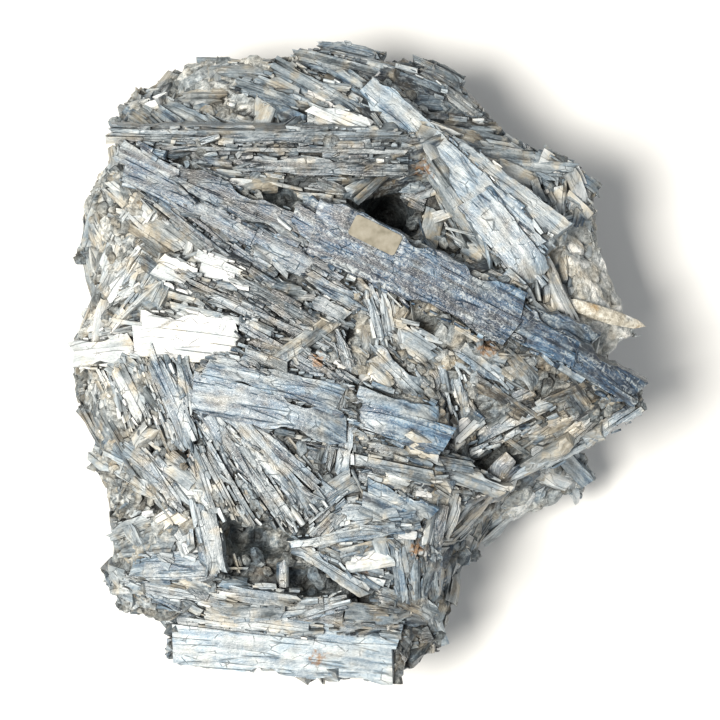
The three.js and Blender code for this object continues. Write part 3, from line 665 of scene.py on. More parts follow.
def ripple(table, x, y):
    """Smooth noise from 0 to 1 over a plane, from a table of random heights one unit apart."""
    x, y = np.broadcast_arrays(x, y)
    left, low = np.floor(x).astype(int), np.floor(y).astype(int)
    a, b = x - left, y - low
    a, b = a * a * (3 - 2 * a), b * b * (3 - 2 * b)
    size = len(table)
    near = table[left % size, low % size] * (1 - a) + table[(left + 1) % size, low % size] * a
    far = table[left % size, (low + 1) % size] * (1 - a) + table[(left + 1) % size, (low + 1) % size] * a
    return near * (1 - b) + far * b


def cut_up(length, low, high, draw):
    """Places that cut a length into runs between two sizes."""
    places = [0.0]
    while places[-1] < length - 1.3 * low:
        places.append(min(length, places[-1] + draw.uniform(low, high)))
    places[-1] = length
    return places if len(places) > 1 else [0.0, length]


def strip_rows(near, far, rows, strip, draw):
    """Where a strip's rows lie along it, and which panel each is in: a parting is two rows side by side."""
    cuts = cut_up(far - near, 3.2 * strip + 4, 11 * strip + 22, draw)
    panels = min(len(cuts) - 1, rows // 3)
    cuts = np.array(cuts[:panels] + [far - near])
    share = np.round(cuts / cuts[-1] * (rows - 2 * panels)).astype(int) + 2 * np.arange(panels + 1)
    share[-1] = rows
    along = np.empty(rows)
    panel = np.empty(rows, int)
    for i in range(panels):
        count = share[i + 1] - share[i]
        along[share[i] : share[i + 1]] = near + np.linspace(cuts[i] + 0.07, cuts[i + 1] - 0.07, count)
        panel[share[i] : share[i + 1]] = i
    return along, panel


def grown_blade(blade, number, row, lean, slant):
    """One blade as a closed mesh: strips side by side, each parted into flat panels that stand at their own
    height, with stepped ends, fine gaps between strips, and sides in leaves. The strips lean by some degrees to
    either side, and the ends are cut at a slant. The floors of the gaps, the sides and the ends are marked for
    painted shade."""
    start, axes, length, width, thickness, strip, look = blade
    draw = seeded(number)
    table = draw.random((32, 32))
    edges = np.array(cut_up(width, 0.55 * strip, 1.5 * strip, draw)) - width / 2
    count = len(edges) - 1
    rows = max(6, round(length / row))
    relief = min(0.6, 0.36 + 0.1 * strip)
    reach = min(9.0, 0.11 * length + 0.6)
    near_walk = np.cumsum(draw.normal(0, 0.55, count))
    far_walk = np.cumsum(draw.normal(0, 0.55, count))
    near_ends = -reach * (0.25 + 0.5 * np.tanh(near_walk - near_walk.mean()))
    far_ends = length + reach * (0.5 * np.tanh(far_walk - far_walk.mean()) - 0.2)
    middles = (edges[:-1] + edges[1:]) / 2
    point = abs(draw.normal(0, 0.6 * slant)) * np.abs(middles)
    near_ends = near_ends + draw.normal(0, slant) * middles + point
    far_ends = far_ends + draw.normal(0, slant) * middles - point
    near_ends = np.minimum(near_ends, 0.35 * length)
    far_ends = np.maximum(far_ends, 0.65 * length)
    drift = draw.normal(0, 0.1 * strip, count + 1)
    drift[[0, -1]] = draw.normal(0, 0.05 * width, 2)
    bow = draw.normal(0, 0.35)
    columns = []
    for i in range(count):
        near, far = near_ends[i], far_ends[i]
        outer = i in (0, count - 1)
        along, panel = strip_rows(near, far, rows, strip, draw)
        panels = panel.max() + 1
        level = -relief * draw.choice((0, 0.15, 0.6, 1.2), p=(0.4, 0.25, 0.2, 0.15))
        heights = level + draw.normal(0, 0.22 * relief, panels)
        if outer and count > 2:
            lowered = draw.uniform(0, 1, panels) < 0.4
            heights = heights - lowered * draw.uniform(0.15, 0.5, panels) * thickness
        tilt = np.tan(np.radians(draw.normal(0, lean, panels)))
        slope = np.tan(np.radians(draw.normal(0, 0.9, panels)))
        middle = np.array([along[panel == k].mean() for k in range(panels)])
        shade = draw.normal(0, 1, (panels, 3)) * (0.07, 0.1, 0.04)
        broken = np.clip(ripple(table, along / 13, 9.0 * i) * 4 - 2.4, 0, 1)
        broken = broken * min(2.4, 0.2 * width)
        chips = broken + ripple(table, along / 2.1, 9.0 * i + 5) * min(0.8, 0.1 * width)
        left = edges[i] + drift[i] * (along / length - 0.5) + (i == 0) * chips
        right = edges[i + 1] + drift[i + 1] * (along / length - 0.5) - (i == count - 1) * chips
        fade = 0.3 * (far - near)
        near_share = np.clip(1 - (along - near) / fade, 0, 1) ** 2
        far_share = np.clip(1 - (far - along) / fade, 0, 1) ** 2
        most = min(0.35 * fade, 2.5)
        skew = np.clip(draw.normal(0, 0.9, 2) * (edges[i + 1] - edges[i]), -most, most)
        sink = draw.uniform(0, 1, 2) ** 1.5 * min(3.5, 0.3 * fade)
        slide = skew[0] * near_share + skew[1] * far_share
        level = sink[0] * near_share + sink[1] * far_share
        steps = max(2, round((edges[i + 1] - edges[i]) / 3.5) + 1)
        for share in np.linspace(0, 1, steps):
            x = left + 0.05 + (right - left - 0.1) * share
            z = heights[panel] + tilt[panel] * (x - (left + right) / 2)
            z = z + slope[panel] * (along - middle[panel])
            z = z + bow * np.sin(math.pi * along / length) * 0.6 + draw.normal(0, 0.04 * relief, rows) - level
            columns.append((x, along + slide * (share - 0.5), z, np.zeros(rows), shade[panel]))
        # the floor of a gap between strips is marked for painted shade, as much as the gap is open
        if i < count - 1 and draw.uniform() < (0.85 if strip < 2.2 else 0.26):
            gap = 0.12 + draw.uniform(0.1, 0.3) * min(strip, 2.2)
            deep = draw.uniform(0.5, 1.2) * min(2.0, 0.7 + 0.5 * strip)
            open_share = np.clip(np.sin(along / draw.uniform(9, 25) + draw.uniform(0, 6)) * 1.5 + 0.8, 0, 1)
            low = z - deep * open_share
            columns.append((right + gap / 2, along + slide / 2, low, open_share, shade[panel]))
    x, u, z, groove_shade, shade = (np.array([column[k] for column in columns]) for k in range(5))
    # the sides are marked for painted shade at 0.35
    sides = []
    for k, sign in ((0, -1), (-1, 1)):
        leaf = draw.normal(0, 1, (2, rows)).repeat(2, axis=1)[:, :rows]
        for depth, wobble in zip((0.42, 1.0), leaf):
            out = x[k] + sign * (0.15 + 0.06 * thickness * depth + 0.25 * min(1.4, 0.14 * width) * wobble)
            low = np.minimum(z[k] - 0.2, -depth * thickness)
            sides.append((out, u[k] + 0.3 * wobble, low, np.full(rows, 0.35), shade[k]))
    order = [sides[1], sides[0]] + list(zip(x, u, z, groove_shade, shade)) + [sides[2], sides[3]]
    x, u, z, groove_shade, shade = (np.array([column[k] for column in order]).swapaxes(0, 1) for k in range(5))
    local = np.stack((x, u, z), axis=-1).reshape(-1, 3)
    tips = [(0, u[0].mean() + 0.5, -0.5 * thickness), (0, u[-1].mean() - 0.5, -0.5 * thickness)]
    local = np.concatenate((local, tips))
    triangles = tube_skin(rows, len(order))
    maps = np.stack((local[:, 1], local[:, 0] + local[:, 2]), axis=-1) + draw.uniform(0, 900, 2)
    looks = np.concatenate((np.array(look) + shade.reshape(-1, 3), [look, look]))
    # the two end tips are marked for painted shade at 0.5
    groove_shades = np.concatenate((groove_shade.ravel(), [0.5, 0.5]))
    corners = measured(local, axes.T) + start
    corners -= over_label(corners, 2.5)[:, None] * axes[2]
    corners[:, 2] = np.maximum(corners[:, 2], 0)
    return corners, triangles, maps, looks, groove_shades


def grown_blades(name, blades, first, build):
    """One piece from many blades, each built with a draw of its own."""
    return joined(name, [grown_blade(blade, first + i, *build) for i, blade in enumerate(blades)])


def over_label(spots, margin):
    """How far each spot stands above the label's underside, or 0 where it is not over the label at all."""
    seat, across, along, outward = label_seat()
    u, v, z = measured(spots - np.array(seat + SHIFT), np.array((along, across, outward))).T
    over = (np.abs(u) < LABEL_LENGTH / 2 + margin) & (np.abs(v) < LABEL_WIDTH / 2 + margin)
    return np.where(over & (np.abs(z) < 6), np.maximum(0, z + LABEL_THICKNESS / 2 + 0.1), 0)


def tube_skin(rows, columns):
    """The triangles of a grid wrapped into a tube, with a fan at each end round one more corner."""
    row, column = np.meshgrid(np.arange(rows - 1), np.arange(columns), indexing="ij")
    a, b = row * columns + column, row * columns + (column + 1) % columns
    c, d = a + columns, b + columns
    skin = np.stack((a, b, d, a, d, c), axis=-1).reshape(-1, 3)
    ring = np.arange(columns)
    after = (ring + 1) % columns
    last = (rows - 1) * columns
    near_cap = np.stack((np.full(columns, rows * columns), after, ring), axis=-1)
    far_cap = np.stack((np.full(columns, rows * columns + 1), last + ring, last + after), axis=-1)
    return np.concatenate((skin, near_cap, far_cap))


# --- The rock and what grows on it ----------------------------------------------------------------


def filled_copy(name, voxel):
    """The CAD solid's skin with its narrow gaps filled in, cut into small even facets, as a new piece: it is
    swelled, merged and shrunk back again."""
    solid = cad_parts["kyanite_cluster"]
    copy = bpy.data.objects.new(name, solid.data.copy())
    bpy.context.scene.collection.objects.link(copy)
    copy.data.materials.clear()
    deselect()
    copy.select_set(True)
    bpy.context.view_layer.objects.active = copy
    bpy.ops.object.mode_set(mode="EDIT")
    bpy.ops.mesh.select_all(action="SELECT")
    bpy.ops.mesh.remove_doubles(threshold=0.01 * MM)
    bpy.ops.object.mode_set(mode="OBJECT")
    for facet, swell in ((SWELL_FACET, GAP_REACH), (SHRINK_FACET, -GAP_REACH - SHRINK_MORE), (voxel, 0)):
        remesh = copy.modifiers.new("facets", "REMESH")
        remesh.mode = "VOXEL"
        remesh.voxel_size = facet * MM
        bpy.ops.object.modifier_apply(modifier=remesh.name)
        if swell:
            displace = copy.modifiers.new("swell", "DISPLACE")
            displace.mid_level = 0
            displace.strength = swell * MM
            bpy.ops.object.modifier_apply(modifier=displace.name)
    return copy


def arrays_of(mesh):
    """A mesh's corners in millimetres, its triangles, and each one's way out, as long as twice its area."""
    places = np.zeros(3 * len(mesh.vertices))
    mesh.vertices.foreach_get("co", places)
    places = places.reshape(-1, 3) / MM
    mesh.calc_loop_triangles()
    triangles = np.zeros(3 * len(mesh.loop_triangles), int)
    mesh.loop_triangles.foreach_get("vertices", triangles)
    triangles = triangles.reshape(-1, 3)
    first, second, third = (places[triangles[:, k]] for k in range(3))
    return places, triangles, np.cross(second - first, third - first)


def ways_out(count, triangles, facets):
    """The way out at each corner, added up from the triangles round it in a fixed order."""
    out = np.zeros((count, 3))
    for k in range(3):
        np.add.at(out, triangles[:, k], facets)
    return out / np.sqrt((out**2).sum(axis=1))[:, None]


def measured(spots, axes):
    """How far places are along each of three axes."""
    return (spots[:, None, :] * axes).sum(axis=2)


def crystal_cell(place, way, size):
    """The crystal that a place of the rock belongs to: how near its border, its middle and three chances."""
    squeezed = (place - way * place.dot(way) * CRYSTAL_SQUEEZE) / size
    gaps, middles = noise.voronoi(squeezed)
    chances = noise.cell_vector(middles[0] * 41.7)
    return gaps[1] - gaps[0], squeezed - middles[0], chances


def rock_point(place, way, calm):
    """The rock's skin at a place: how far out it stands, how deep in a groove, its grain and its chances."""
    wander = noise.noise_vector(place / 9) * 3.2
    border, offset, chances = crystal_cell(place + wander, way, CRYSTAL)
    fine_border, fine_offset, fine_chances = crystal_cell(place + wander * 0.4, way, FINE_CRYSTAL)
    slope = noise.cell_vector(chances * 91) - HALF
    fine_slope = noise.cell_vector(fine_chances * 67) - HALF
    grain = (way + (chances - HALF) * 1.5).normalized()
    beside = place - grain * place.dot(grain) * 0.88
    striae = noise.noise(beside / 1.1)
    out = 2.2 * (chances.x - 0.5) + 3.0 * offset.dot(slope)
    out += 0.9 * (fine_chances.y - 0.5) + 1.6 * fine_offset.dot(fine_slope) + 0.28 * striae
    groove_shade = max(0, 1 - border / 0.11) + 0.6 * max(0, 1 - fine_border / 0.14)
    out -= 0.9 * min(1, groove_shade)
    return (out - 1.2) * (1 - 0.7 * calm), min(1, groove_shade) * (1 - 0.8 * calm), grain, chances, fine_chances


def nearest_blade(spots, blades):
    """For each spot, which large blade's middle line runs nearest, and how far off."""
    starts = np.array([blade[0] for blade in blades])
    ways = np.array([blade[1][1] for blade in blades])
    lengths = np.array([blade[2] for blade in blades])
    chosen = np.empty(len(spots), int)
    gap = np.empty(len(spots))
    for first in range(0, len(spots), 20000):
        some = slice(first, first + 20000)
        offset = spots[some, None, :] - starts[None]
        run = np.clip(np.einsum("kbj,bj->kb", offset, ways), 0, lengths[None])
        distance = np.linalg.norm(offset - run[..., None] * ways[None], axis=2)
        chosen[some] = distance.argmin(axis=1)
        gap[some] = distance.min(axis=1)
    return chosen, gap


def on_blade_face(spots, blades, margin, under):
    """Whether each spot lies on or just under the outer face of some large blade."""
    found = np.zeros(len(spots), bool)
    for start, axes, length, width, *_ in blades:
        local = measured(spots - start, axes)
        inside = (np.abs(local[:, 0]) < width / 2 - margin) & (local[:, 1] > margin)
        found |= inside & (local[:, 1] < length - margin) & (np.abs(local[:, 2]) < under)
    return found


def near_share(spots, middle, radius):
    """How far each spot is inside a ball, from 0 at its edge to 1 from 0.3 of the radius inwards."""
    distance = np.linalg.norm(spots - in_frame(middle), axis=1)
    return np.clip((radius - distance) / (0.3 * radius), 0, 1)


def calm_share(spots):
    """How smooth and plain the rock is at each spot, from 0 to 1: where weathered rock shows bare."""
    share = np.zeros(len(spots))
    for middle, radius in CALM_ROCK:
        share = np.maximum(share, near_share(spots, middle, radius))
    return share


def bare_share(spots):
    """The share of blades left out at each spot: where the rock or its lumps show bare."""
    share = calm_share(spots)
    for middle, radius, most in BARE_ROCK:
        share = np.maximum(share, most * near_share(spots, middle, radius))
    return share


def out_of_sight(spots, skin, blades):
    """Whether each spot is under a large blade's face, deep in the rock or over a hollow."""
    covered = on_blade_face(spots, blades, margin=0.5, under=4)
    return covered | (pit_depth(spots, skin) > 4) | in_hollow(spots, share=0.9)


def in_hollow(spots, share):
    """Whether each spot is over one of the hollows, out to a share of its radius."""
    found = np.zeros(len(spots), bool)
    for middle, radius, _ in HOLLOWS:
        offset = spots - in_frame(middle)
        found |= (np.hypot(offset[:, 0], offset[:, 1]) < share * radius) & (offset[:, 2] > -35)
    return found


def over_hollow(starts, ends):
    """Whether each thing, given by its two ends, lies across a hollow."""
    found = np.zeros(len(starts), bool)
    for share in np.linspace(0, 1, 5):
        found |= in_hollow(starts + share * (ends - starts), 0.8)
    return found


def zone_looks(spots):
    """The look of the rock at each spot, from the zones round it."""
    total = np.full((len(spots), 1), PLAIN_WEIGHT)
    mixed = np.array([PLAIN_LOOK]) * total
    for middle, radius, look in ZONES:
        distance = np.linalg.norm(spots - in_frame(middle), axis=1)[:, None] / radius
        weight = np.exp(-2.5 * distance**2)
        mixed = mixed + weight * np.array(look)
        total = total + weight
    return mixed / total


def rock_body(blades):
    """The rock between and under the blades: crystals grown together, each with its tilt, grain and colour."""
    rock = filled_copy("rock_body", ROCK_FACET)
    mesh = rock.data
    places, triangles, facets = arrays_of(mesh)
    normals = ways_out(len(places), triangles, facets)
    near, gap = nearest_blade(places, blades)
    calm = calm_share(places)
    zones = zone_looks(places)
    covered = on_blade_face(places, blades, margin=0.2, under=3.0)
    outs = np.empty(len(places))
    groove_shades = np.empty(len(places))
    maps = np.empty((len(places), 2))
    looks = np.empty((len(places), 3))
    for i, (place, normal) in enumerate(zip(places, normals)):
        spot = Vector(place)
        way = Vector(blades[near[i]][1][1]) if gap[i] < BLADE_REACH else cell_way(spot, ROCK_PATCH)
        out, groove_shade, grain, chances, fine_chances = rock_point(spot, way, calm[i])
        side = grain.cross(Vector(normal))
        outs[i] = out
        groove_shades[i] = groove_shade
        maps[i] = (spot.dot(grain) + 300 * chances.x, spot.dot(side) + 300 * chances.y)
        looks[i] = rock_look(zones[i], chances, fine_chances, calm[i])
    outs[covered] = -3.0
    places = places + normals * outs[:, None]
    for middle, radius, depth in HOLLOWS:
        offset = places - in_frame(middle)
        share = np.hypot(offset[:, 0], offset[:, 1]) / radius
        places[:, 2] -= depth * np.clip(1.15 - share**2, 0, 1) * (offset[:, 2] > -35)
    places[:, 2] = np.maximum(places[:, 2], 0)
    mesh.vertices.foreach_set("co", (places * MM).ravel())
    loops = np.empty(len(mesh.loops), int)
    mesh.loops.foreach_get("vertex_index", loops)
    write_finish(mesh, loops, maps, looks, groove_shades)
    mesh.polygons.foreach_set("use_smooth", np.zeros(len(mesh.polygons), bool))
    mesh.update()
    return rock


def rock_look(zone, chances, fine_chances, calm):
    """How pale, blue and tan one crystal of the rock is, about the look of its zone."""
    pale = zone[0] + 0.4 * (chances.z - 0.5) + 0.25 * (fine_chances.z - 0.5)
    blue = zone[1] * (0.4 + 1.6 * chances.y * fine_chances.y)
    tan = zone[2] * (0.5 + chances.x) + 0.15 * (fine_chances.x > 0.7)
    return pale * (1 - calm) + calm * (zone[0] + 0.15 * (fine_chances.z - 0.5)), blue * (1 - calm), tan


def cell_way(spot, cell):
    """A way that holds within a cell of the rock and changes from one cell to the next."""
    return (noise.cell_vector(spot / cell) - HALF).normalized()


def spots_on(rock, count, draw):
    """Places spread evenly over the rock by area, in millimetres."""
    places, triangles, facets = arrays_of(rock.data)
    corners = places[triangles]
    area = np.sqrt((facets**2).sum(axis=1))
    chosen = draw.choice(len(area), count, p=area / area.sum())
    share = draw.dirichlet([1, 1, 1], count)
    return np.einsum("kc,kcj->kj", share, corners[chosen])


def calm_skin():
    """The CAD solid with its corners rounded away, for the way out of the rock at a place."""
    calm = filled_copy("calm", CALM_FACET)
    smooth = calm.modifiers.new("smooth", "SMOOTH")
    smooth.iterations = 12
    skin = BVHTree.FromObject(calm, bpy.context.evaluated_depsgraph_get())
    bpy.data.objects.remove(calm)
    return skin


def level_way(way, out):
    """A way laid down into the skin whose way out is given."""
    laid = way - out * (way * out).sum()
    size = np.linalg.norm(laid)
    if size < 0.1:
        laid = np.cross(out, (0.3, 0.8, 0.5))
        size = np.linalg.norm(laid)
    return laid / size


def laid_on(skin, spot, way, run, lift):
    """Start, axes and length of something that lies on the calm skin at a spot, both its ends on the skin."""
    middle, out, *_ = skin.find_nearest(Vector(spot) * MM)
    way = Vector(level_way(way, np.array(out)))
    near = skin.find_nearest(middle - way * run / 2 * MM)[0]
    far = skin.find_nearest(middle + way * run / 2 * MM)[0]
    along = (far - near).normalized()
    out = (out - along * out.dot(along)).normalized()
    crown = (middle - (near + far) / 2).dot(out) / MM
    start = np.array(near) / MM + np.array(out) * (lift + 0.6 * max(0, crown))
    return start, np.array([along.cross(out), along, out]), (far - near).length / MM


def pit_depth(spots, skin):
    """How far each spot lies below the calm skin: large in a hollow."""
    depth = np.empty(len(spots))
    for i, spot in enumerate(spots):
        middle, out, *_ = skin.find_nearest(Vector(spot) * MM)
        depth[i] = (middle - Vector(spot) * MM).dot(out) / MM
    return depth


def edge_splinters(blades, skin, kinds, draw):
    """Splinters along the edges and ends of every large blade, where it broke from its neighbours."""
    plots = []
    for start, axes, length, width, *_, look in blades:
        places = []
        along = np.arange(draw.uniform(0, SPLINTER_STEP), length, SPLINTER_GAP)
        for side in (-1, 1):
            places += [(side * (width / 2 - draw.uniform(-1.0, 0.6)), run, side) for run in along]
        for end in (0, length):
            places += [(draw.uniform(-0.5, 0.5) * width, draw.normal(end, 1.2), 0) for _ in range(4)]
        for x, u, side in places:
            wide = min(3.2, 0.4 + draw.gamma(1.4, 0.6))
            run = min(11, wide * draw.uniform(1.2, 5))
            origin = start + axes[0] * x + axes[1] * (u - run / 2) + axes[2] * draw.uniform(-1.8, 0.15)
            own = turned(axes, draw.normal(0, 9), draw.normal(0, 5), draw.normal(0, 16) + side * 12)
            tint = np.array(look) + draw.normal(0, 1, 3) * (0.18, 0.08, 0.08)
            plots.append((int(draw.integers(0, kinds)), origin, own, (wide, run, 1 + 0.7 * wide), tint))
    ends = [np.array([plot[1] + share * plot[2][1] * plot[3][1] for plot in plots]) for share in (0, 1)]
    proud = (pit_depth(ends[0], skin) < -3) | (pit_depth(ends[1], skin) < -3)
    proud |= (over_label(ends[0], 3) > 0) | (over_label(ends[1], 3) > 0)
    return [plot for plot, drop in zip(plots, proud) if not drop]


def field_ways(spots, blades, draw, reach, follow, spread):
    """The way that each thing lies: as the large blade beside it, or as its own patch of rock."""
    near, gap = nearest_blade(spots, blades)
    ways = []
    for spot, which, distance in zip(spots, near, gap):
        follows = distance < reach and draw.uniform() < follow
        way = blades[which][1][1] if follows else np.array(cell_way(Vector(spot), BLADE_PATCH))
        ways.append(way + draw.normal(0, spread, 3))
    return ways


def field_blades(spots, skin, blades, draw, length, width, strips):
    """Blades of middling size that overlap all over the rock, flush with its skin, between the large ones."""
    dropped = out_of_sight(spots, skin, blades)
    calm = bare_share(spots)
    zones = zone_looks(spots)
    ways = field_ways(spots, blades, draw, 16, 0.55, 0.2)
    made = []
    for spot, drop, bare, zone, way in zip(spots, dropped, calm, zones, ways):
        if drop or draw.uniform() < bare:
            continue
        run = draw.uniform(*length)
        wide = min(draw.uniform(*width), 0.7 * run)
        start, axes, run = laid_on(skin, spot, way, run, draw.uniform(-0.9, 0.9))
        axes = turned(axes, 0, 0, draw.normal(0, 9))
        if run < 0.6 * length[0] or min(start[2], (start + axes[1] * run)[2]) < 2:
            continue
        look = zone + draw.normal(0, 1, 3) * (0.14, 0.2, 0.18)
        made.append((start, axes, run, wide, min(7, 2 + 0.6 * wide), draw.uniform(*strips), look))
    ends = np.array([blade[0] + blade[1][1] * blade[2] for blade in made])
    starts = np.array([blade[0] for blade in made])
    over = on_blade_face(ends, blades, margin=2, under=5) | on_blade_face(starts, blades, margin=2, under=5)
    for side in (-0.45, 0, 0.45):
        aside = np.array([side * blade[3] * blade[1][0] for blade in made])
        over |= over_hollow(starts + aside, ends + aside)
    over |= (pit_depth(starts, skin) < -2.2) | (pit_depth(ends, skin) < -2.2)
    return [blade for blade, drop in zip(made, over) if not drop]


def lumps_on(spots, skin, blades, draw):
    """Lumps of the matrix, sunk most of the way into the rock, thick in some places and thin in the rest."""
    dropped = on_blade_face(spots, blades, margin=0.5, under=4) | in_hollow(spots, share=1.0)
    zones = zone_looks(spots)
    plots = []
    for middle, radius, count, size, kinds in LUMPS:
        distance = np.linalg.norm(spots - in_frame(middle), axis=1)
        near = np.flatnonzero((distance < radius) & ~dropped)
        for i in draw.permutation(near)[:count]:
            wide = size * draw.lognormal(0, 0.3)
            run = wide * draw.uniform(0.9, 1.7)
            way = np.array(cell_way(Vector(spots[i]), LUMP_PATCH))
            origin, axes, _ = laid_on(skin, spots[i], way, run, 0)
            thick = wide * draw.uniform(0.6, 0.9)
            origin = origin + axes[1] * run / 2 - axes[2] * thick * draw.uniform(0.22, 0.42)
            axes = turned(axes, draw.uniform(0, 60), draw.normal(0, 10), draw.normal(0, 10))
            look = zones[i] + draw.normal(0, 1, 3) * (0.1, 0.06, 0.12) + (0, -0.05, 0.1)
            plots.append((int(draw.choice(kinds)), origin, axes, (wide, run, thick), look))
    reach = [max(plot[3]) for plot in plots]
    over = np.zeros(len(plots), bool)
    for x, u in ((0, 0.5), (0, -0.5), (0.5, 0), (-0.5, 0)):
        ends = [plot[1] + plot[2][0] * x * far + plot[2][1] * u * far for plot, far in zip(plots, reach)]
        over |= on_blade_face(np.array(ends), blades, margin=2.5, under=5)
    return [plot for plot, drop in zip(plots, over) if not drop]


def shards_on(spots, skin, blades, shapes, draw, width, stretch, lift):
    """Broken shards that overlap on the rock, nearly flush and lying with their neighbours, so that flat
    facets meet at sharp steps."""
    dropped = out_of_sight(spots, skin, blades)
    calm = bare_share(spots)
    zones = zone_looks(spots)
    ways = field_ways(spots, blades, draw, 11, 0.75, 0.15)
    plots = []
    for spot, drop, bare, zone, way in zip(spots, dropped, calm, zones, ways):
        if drop or draw.uniform() < bare:
            continue
        wide = width * draw.lognormal(0, 0.45)
        run = min(30, wide * draw.uniform(*stretch))
        origin, axes, run = laid_on(skin, spot, way, run, draw.uniform(*lift))
        axes = turned(axes, 0, draw.normal(0, 2), draw.normal(0, 11))
        local = np.array(cell_way(Vector(spot) + Vector((70, 0, 0)), LOOK_PATCH))
        look = zone + local * (0.25, 0.2, 0.15) + draw.normal(0, 1, 3) * (0.09, 0.14, 0.14)
        size = (wide, run, 1.2 + wide * draw.uniform(0.3, 0.6))
        plots.append((int(draw.integers(0, len(shapes))), origin, axes, size, look))
    ends = np.array([plot[1] + plot[2][1] * plot[3][1] for plot in plots])
    starts = np.array([plot[1] for plot in plots])
    over = on_blade_face(ends, blades, margin=1.5, under=5)
    over |= on_blade_face(starts, blades, margin=1.5, under=5)
    over |= over_hollow(starts, ends) | (pit_depth(starts, skin) < -1.6) | (pit_depth(ends, skin) < -1.6)
    low = (ends[:, 2] < 1) | (starts[:, 2] < 1)
    return [plot for plot, drop in zip(plots, over | low) if not drop]


# --- Label ----------------------------------------------------------------------------------------


def paper_label():
    """The label: a thin card with round corners, cockled a little by its glue and lifted at one end."""
    seat, across, along, outward = label_seat()
    deselect()
    bpy.ops.mesh.primitive_cube_add(size=1)
    card = bpy.context.object
    card.name = "paper_label_card"
    bpy.ops.transform.resize(value=(LABEL_LENGTH * MM, LABEL_WIDTH * MM, LABEL_THICKNESS * MM))
    bpy.ops.object.transform_apply(location=True, scale=True)
    bpy.ops.object.mode_set(mode="EDIT")
    select_edges(card, lambda a, b: abs(a.z - b.z) > 0.5 * LABEL_THICKNESS * MM)
    bpy.ops.mesh.bevel(offset=LABEL_CORNER * MM, segments=5)
    for step in range(1, LABEL_LENGTH):
        bpy.ops.mesh.select_all(action="SELECT")
        bpy.ops.mesh.bisect(plane_co=((step - LABEL_LENGTH / 2) * MM, 0, 0), plane_no=(1, 0, 0))
    for step in range(-3, 4):
        bpy.ops.mesh.select_all(action="SELECT")
        bpy.ops.mesh.bisect(plane_co=(0, step * MM, 0), plane_no=(0, 1, 0))
    bpy.ops.object.mode_set(mode="OBJECT")
    edge = card.modifiers.new("edge", "BEVEL")
    edge.width = 0.08 * MM
    edge.segments = 2
    edge.limit_method = "ANGLE"
    bpy.ops.object.modifier_apply(modifier=edge.name)
    for corner in card.data.vertices:
        place = corner.co / MM
        lift = LABEL_COCKLE * noise.noise(Vector((place.x * 0.22, place.y * 0.35, 4.1)))
        lift += LABEL_CURL * max(0, place.x - 3) ** 2
        corner.co.z += lift * MM
    flat = card.data.uv_layers.active.data
    for loop in card.data.loops:
        place = card.data.vertices[loop.vertex_index].co / MM
        flat[loop.index].uv = (place.x / LABEL_LENGTH + 0.5, place.y / LABEL_WIDTH + 0.5)
    own = Matrix((along, across, outward)).transposed().to_4x4()
    own.translation = (seat + SHIFT) * MM
    card.data.transform(own)
    card.data.materials.clear()
    return card


# --- Materials ------------------------------------------------------------------------------------


def colour(code):
    """An sRGB hex colour as the linear values that a shader takes."""
    parts = [int(code[place : place + 2], 16) / 255 for place in (1, 3, 5)]
    linear = [part / 12.92 if part <= 0.04045 else ((part + 0.055) / 1.055) ** 2.4 for part in parts]
    return (*linear, 1)


def add(tree, kind, settings=None, **inputs):
    """Adds a node. Settings are its own properties. Each input is a value or another node's output socket, and
    its name may be the socket's name with _ for a space, or its number after an i."""
    made = tree.nodes.new(kind)
    for name, value in (settings or {}).items():
        setattr(made, name, value)
    for name, value in inputs.items():
        key = int(name[1:]) if name[0] == "i" and name[1:].isdigit() else name.replace("_", " ")
        if isinstance(value, bpy.types.NodeSocket):
            tree.links.new(value, made.inputs[key])
        else:
            made.inputs[key].default_value = value
    return made


def new_material(name):
    """A material with its shader, and the tree to add to."""
    made = bpy.data.materials.new(name)
    made.use_nodes = True
    return made, made.node_tree, made.node_tree.nodes["Principled BSDF"]


def colour_stops(ramp, stops):
    """Sets a colour ramp's stops, each a place and an sRGB hex colour."""
    elements = ramp.color_ramp.elements
    while len(elements) < len(stops):
        elements.new(0.5)
    for element, (place, code) in zip(elements, stops):
        element.position = place
        element.color = colour(code)


def stone_look(tree):
    """How pale, how blue and how tan the stone is at a place."""
    look = add(tree, "ShaderNodeAttribute", {"attribute_name": "look"}).outputs["Vector"]
    return add(tree, "ShaderNodeSeparateXYZ", None, Vector=look).outputs


def stone_colours(tree, tone):
    """The stone's grey, blue and tan at a tone from 0, its darkest, to 1."""
    colours = []
    for stops in (GREY_KYANITE, BLUE_KYANITE, TAN_KYANITE):
        ramp = add(tree, "ShaderNodeValToRGB", None, Fac=tone)
        colour_stops(ramp, stops)
        colours.append(ramp.outputs["Color"])
    return colours


def noise_in_place(tree, place, size, detail):
    """Cloudy noise in the solid stone, its clouds of a size in millimetres."""
    return add(tree, NOISE, None, Vector=place, Scale=1 / (size * MM), Detail=detail).outputs[0]


def cell_borders(tree, mapped, cell, start, reach, most):
    """Where slim cells meet: most at their border, nothing from a reach on. A cell is its length and width in
    millimetres."""
    long, wide = cell
    cells = add(tree, "ShaderNodeMapping", None, Vector=mapped, Scale=(1 / long, 1 / wide, 1), Location=start)
    laid = {"Vector": cells.outputs[0], "Scale": 1.0}
    border = add(tree, "ShaderNodeTexVoronoi", {"feature": "DISTANCE_TO_EDGE"}, **laid).outputs[0]
    fading = {"From_Min": 0.0, "From_Max": reach, "To_Min": most, "To_Max": 0.0}
    return add(tree, SPAN, None, Value=border, **fading).outputs[0]


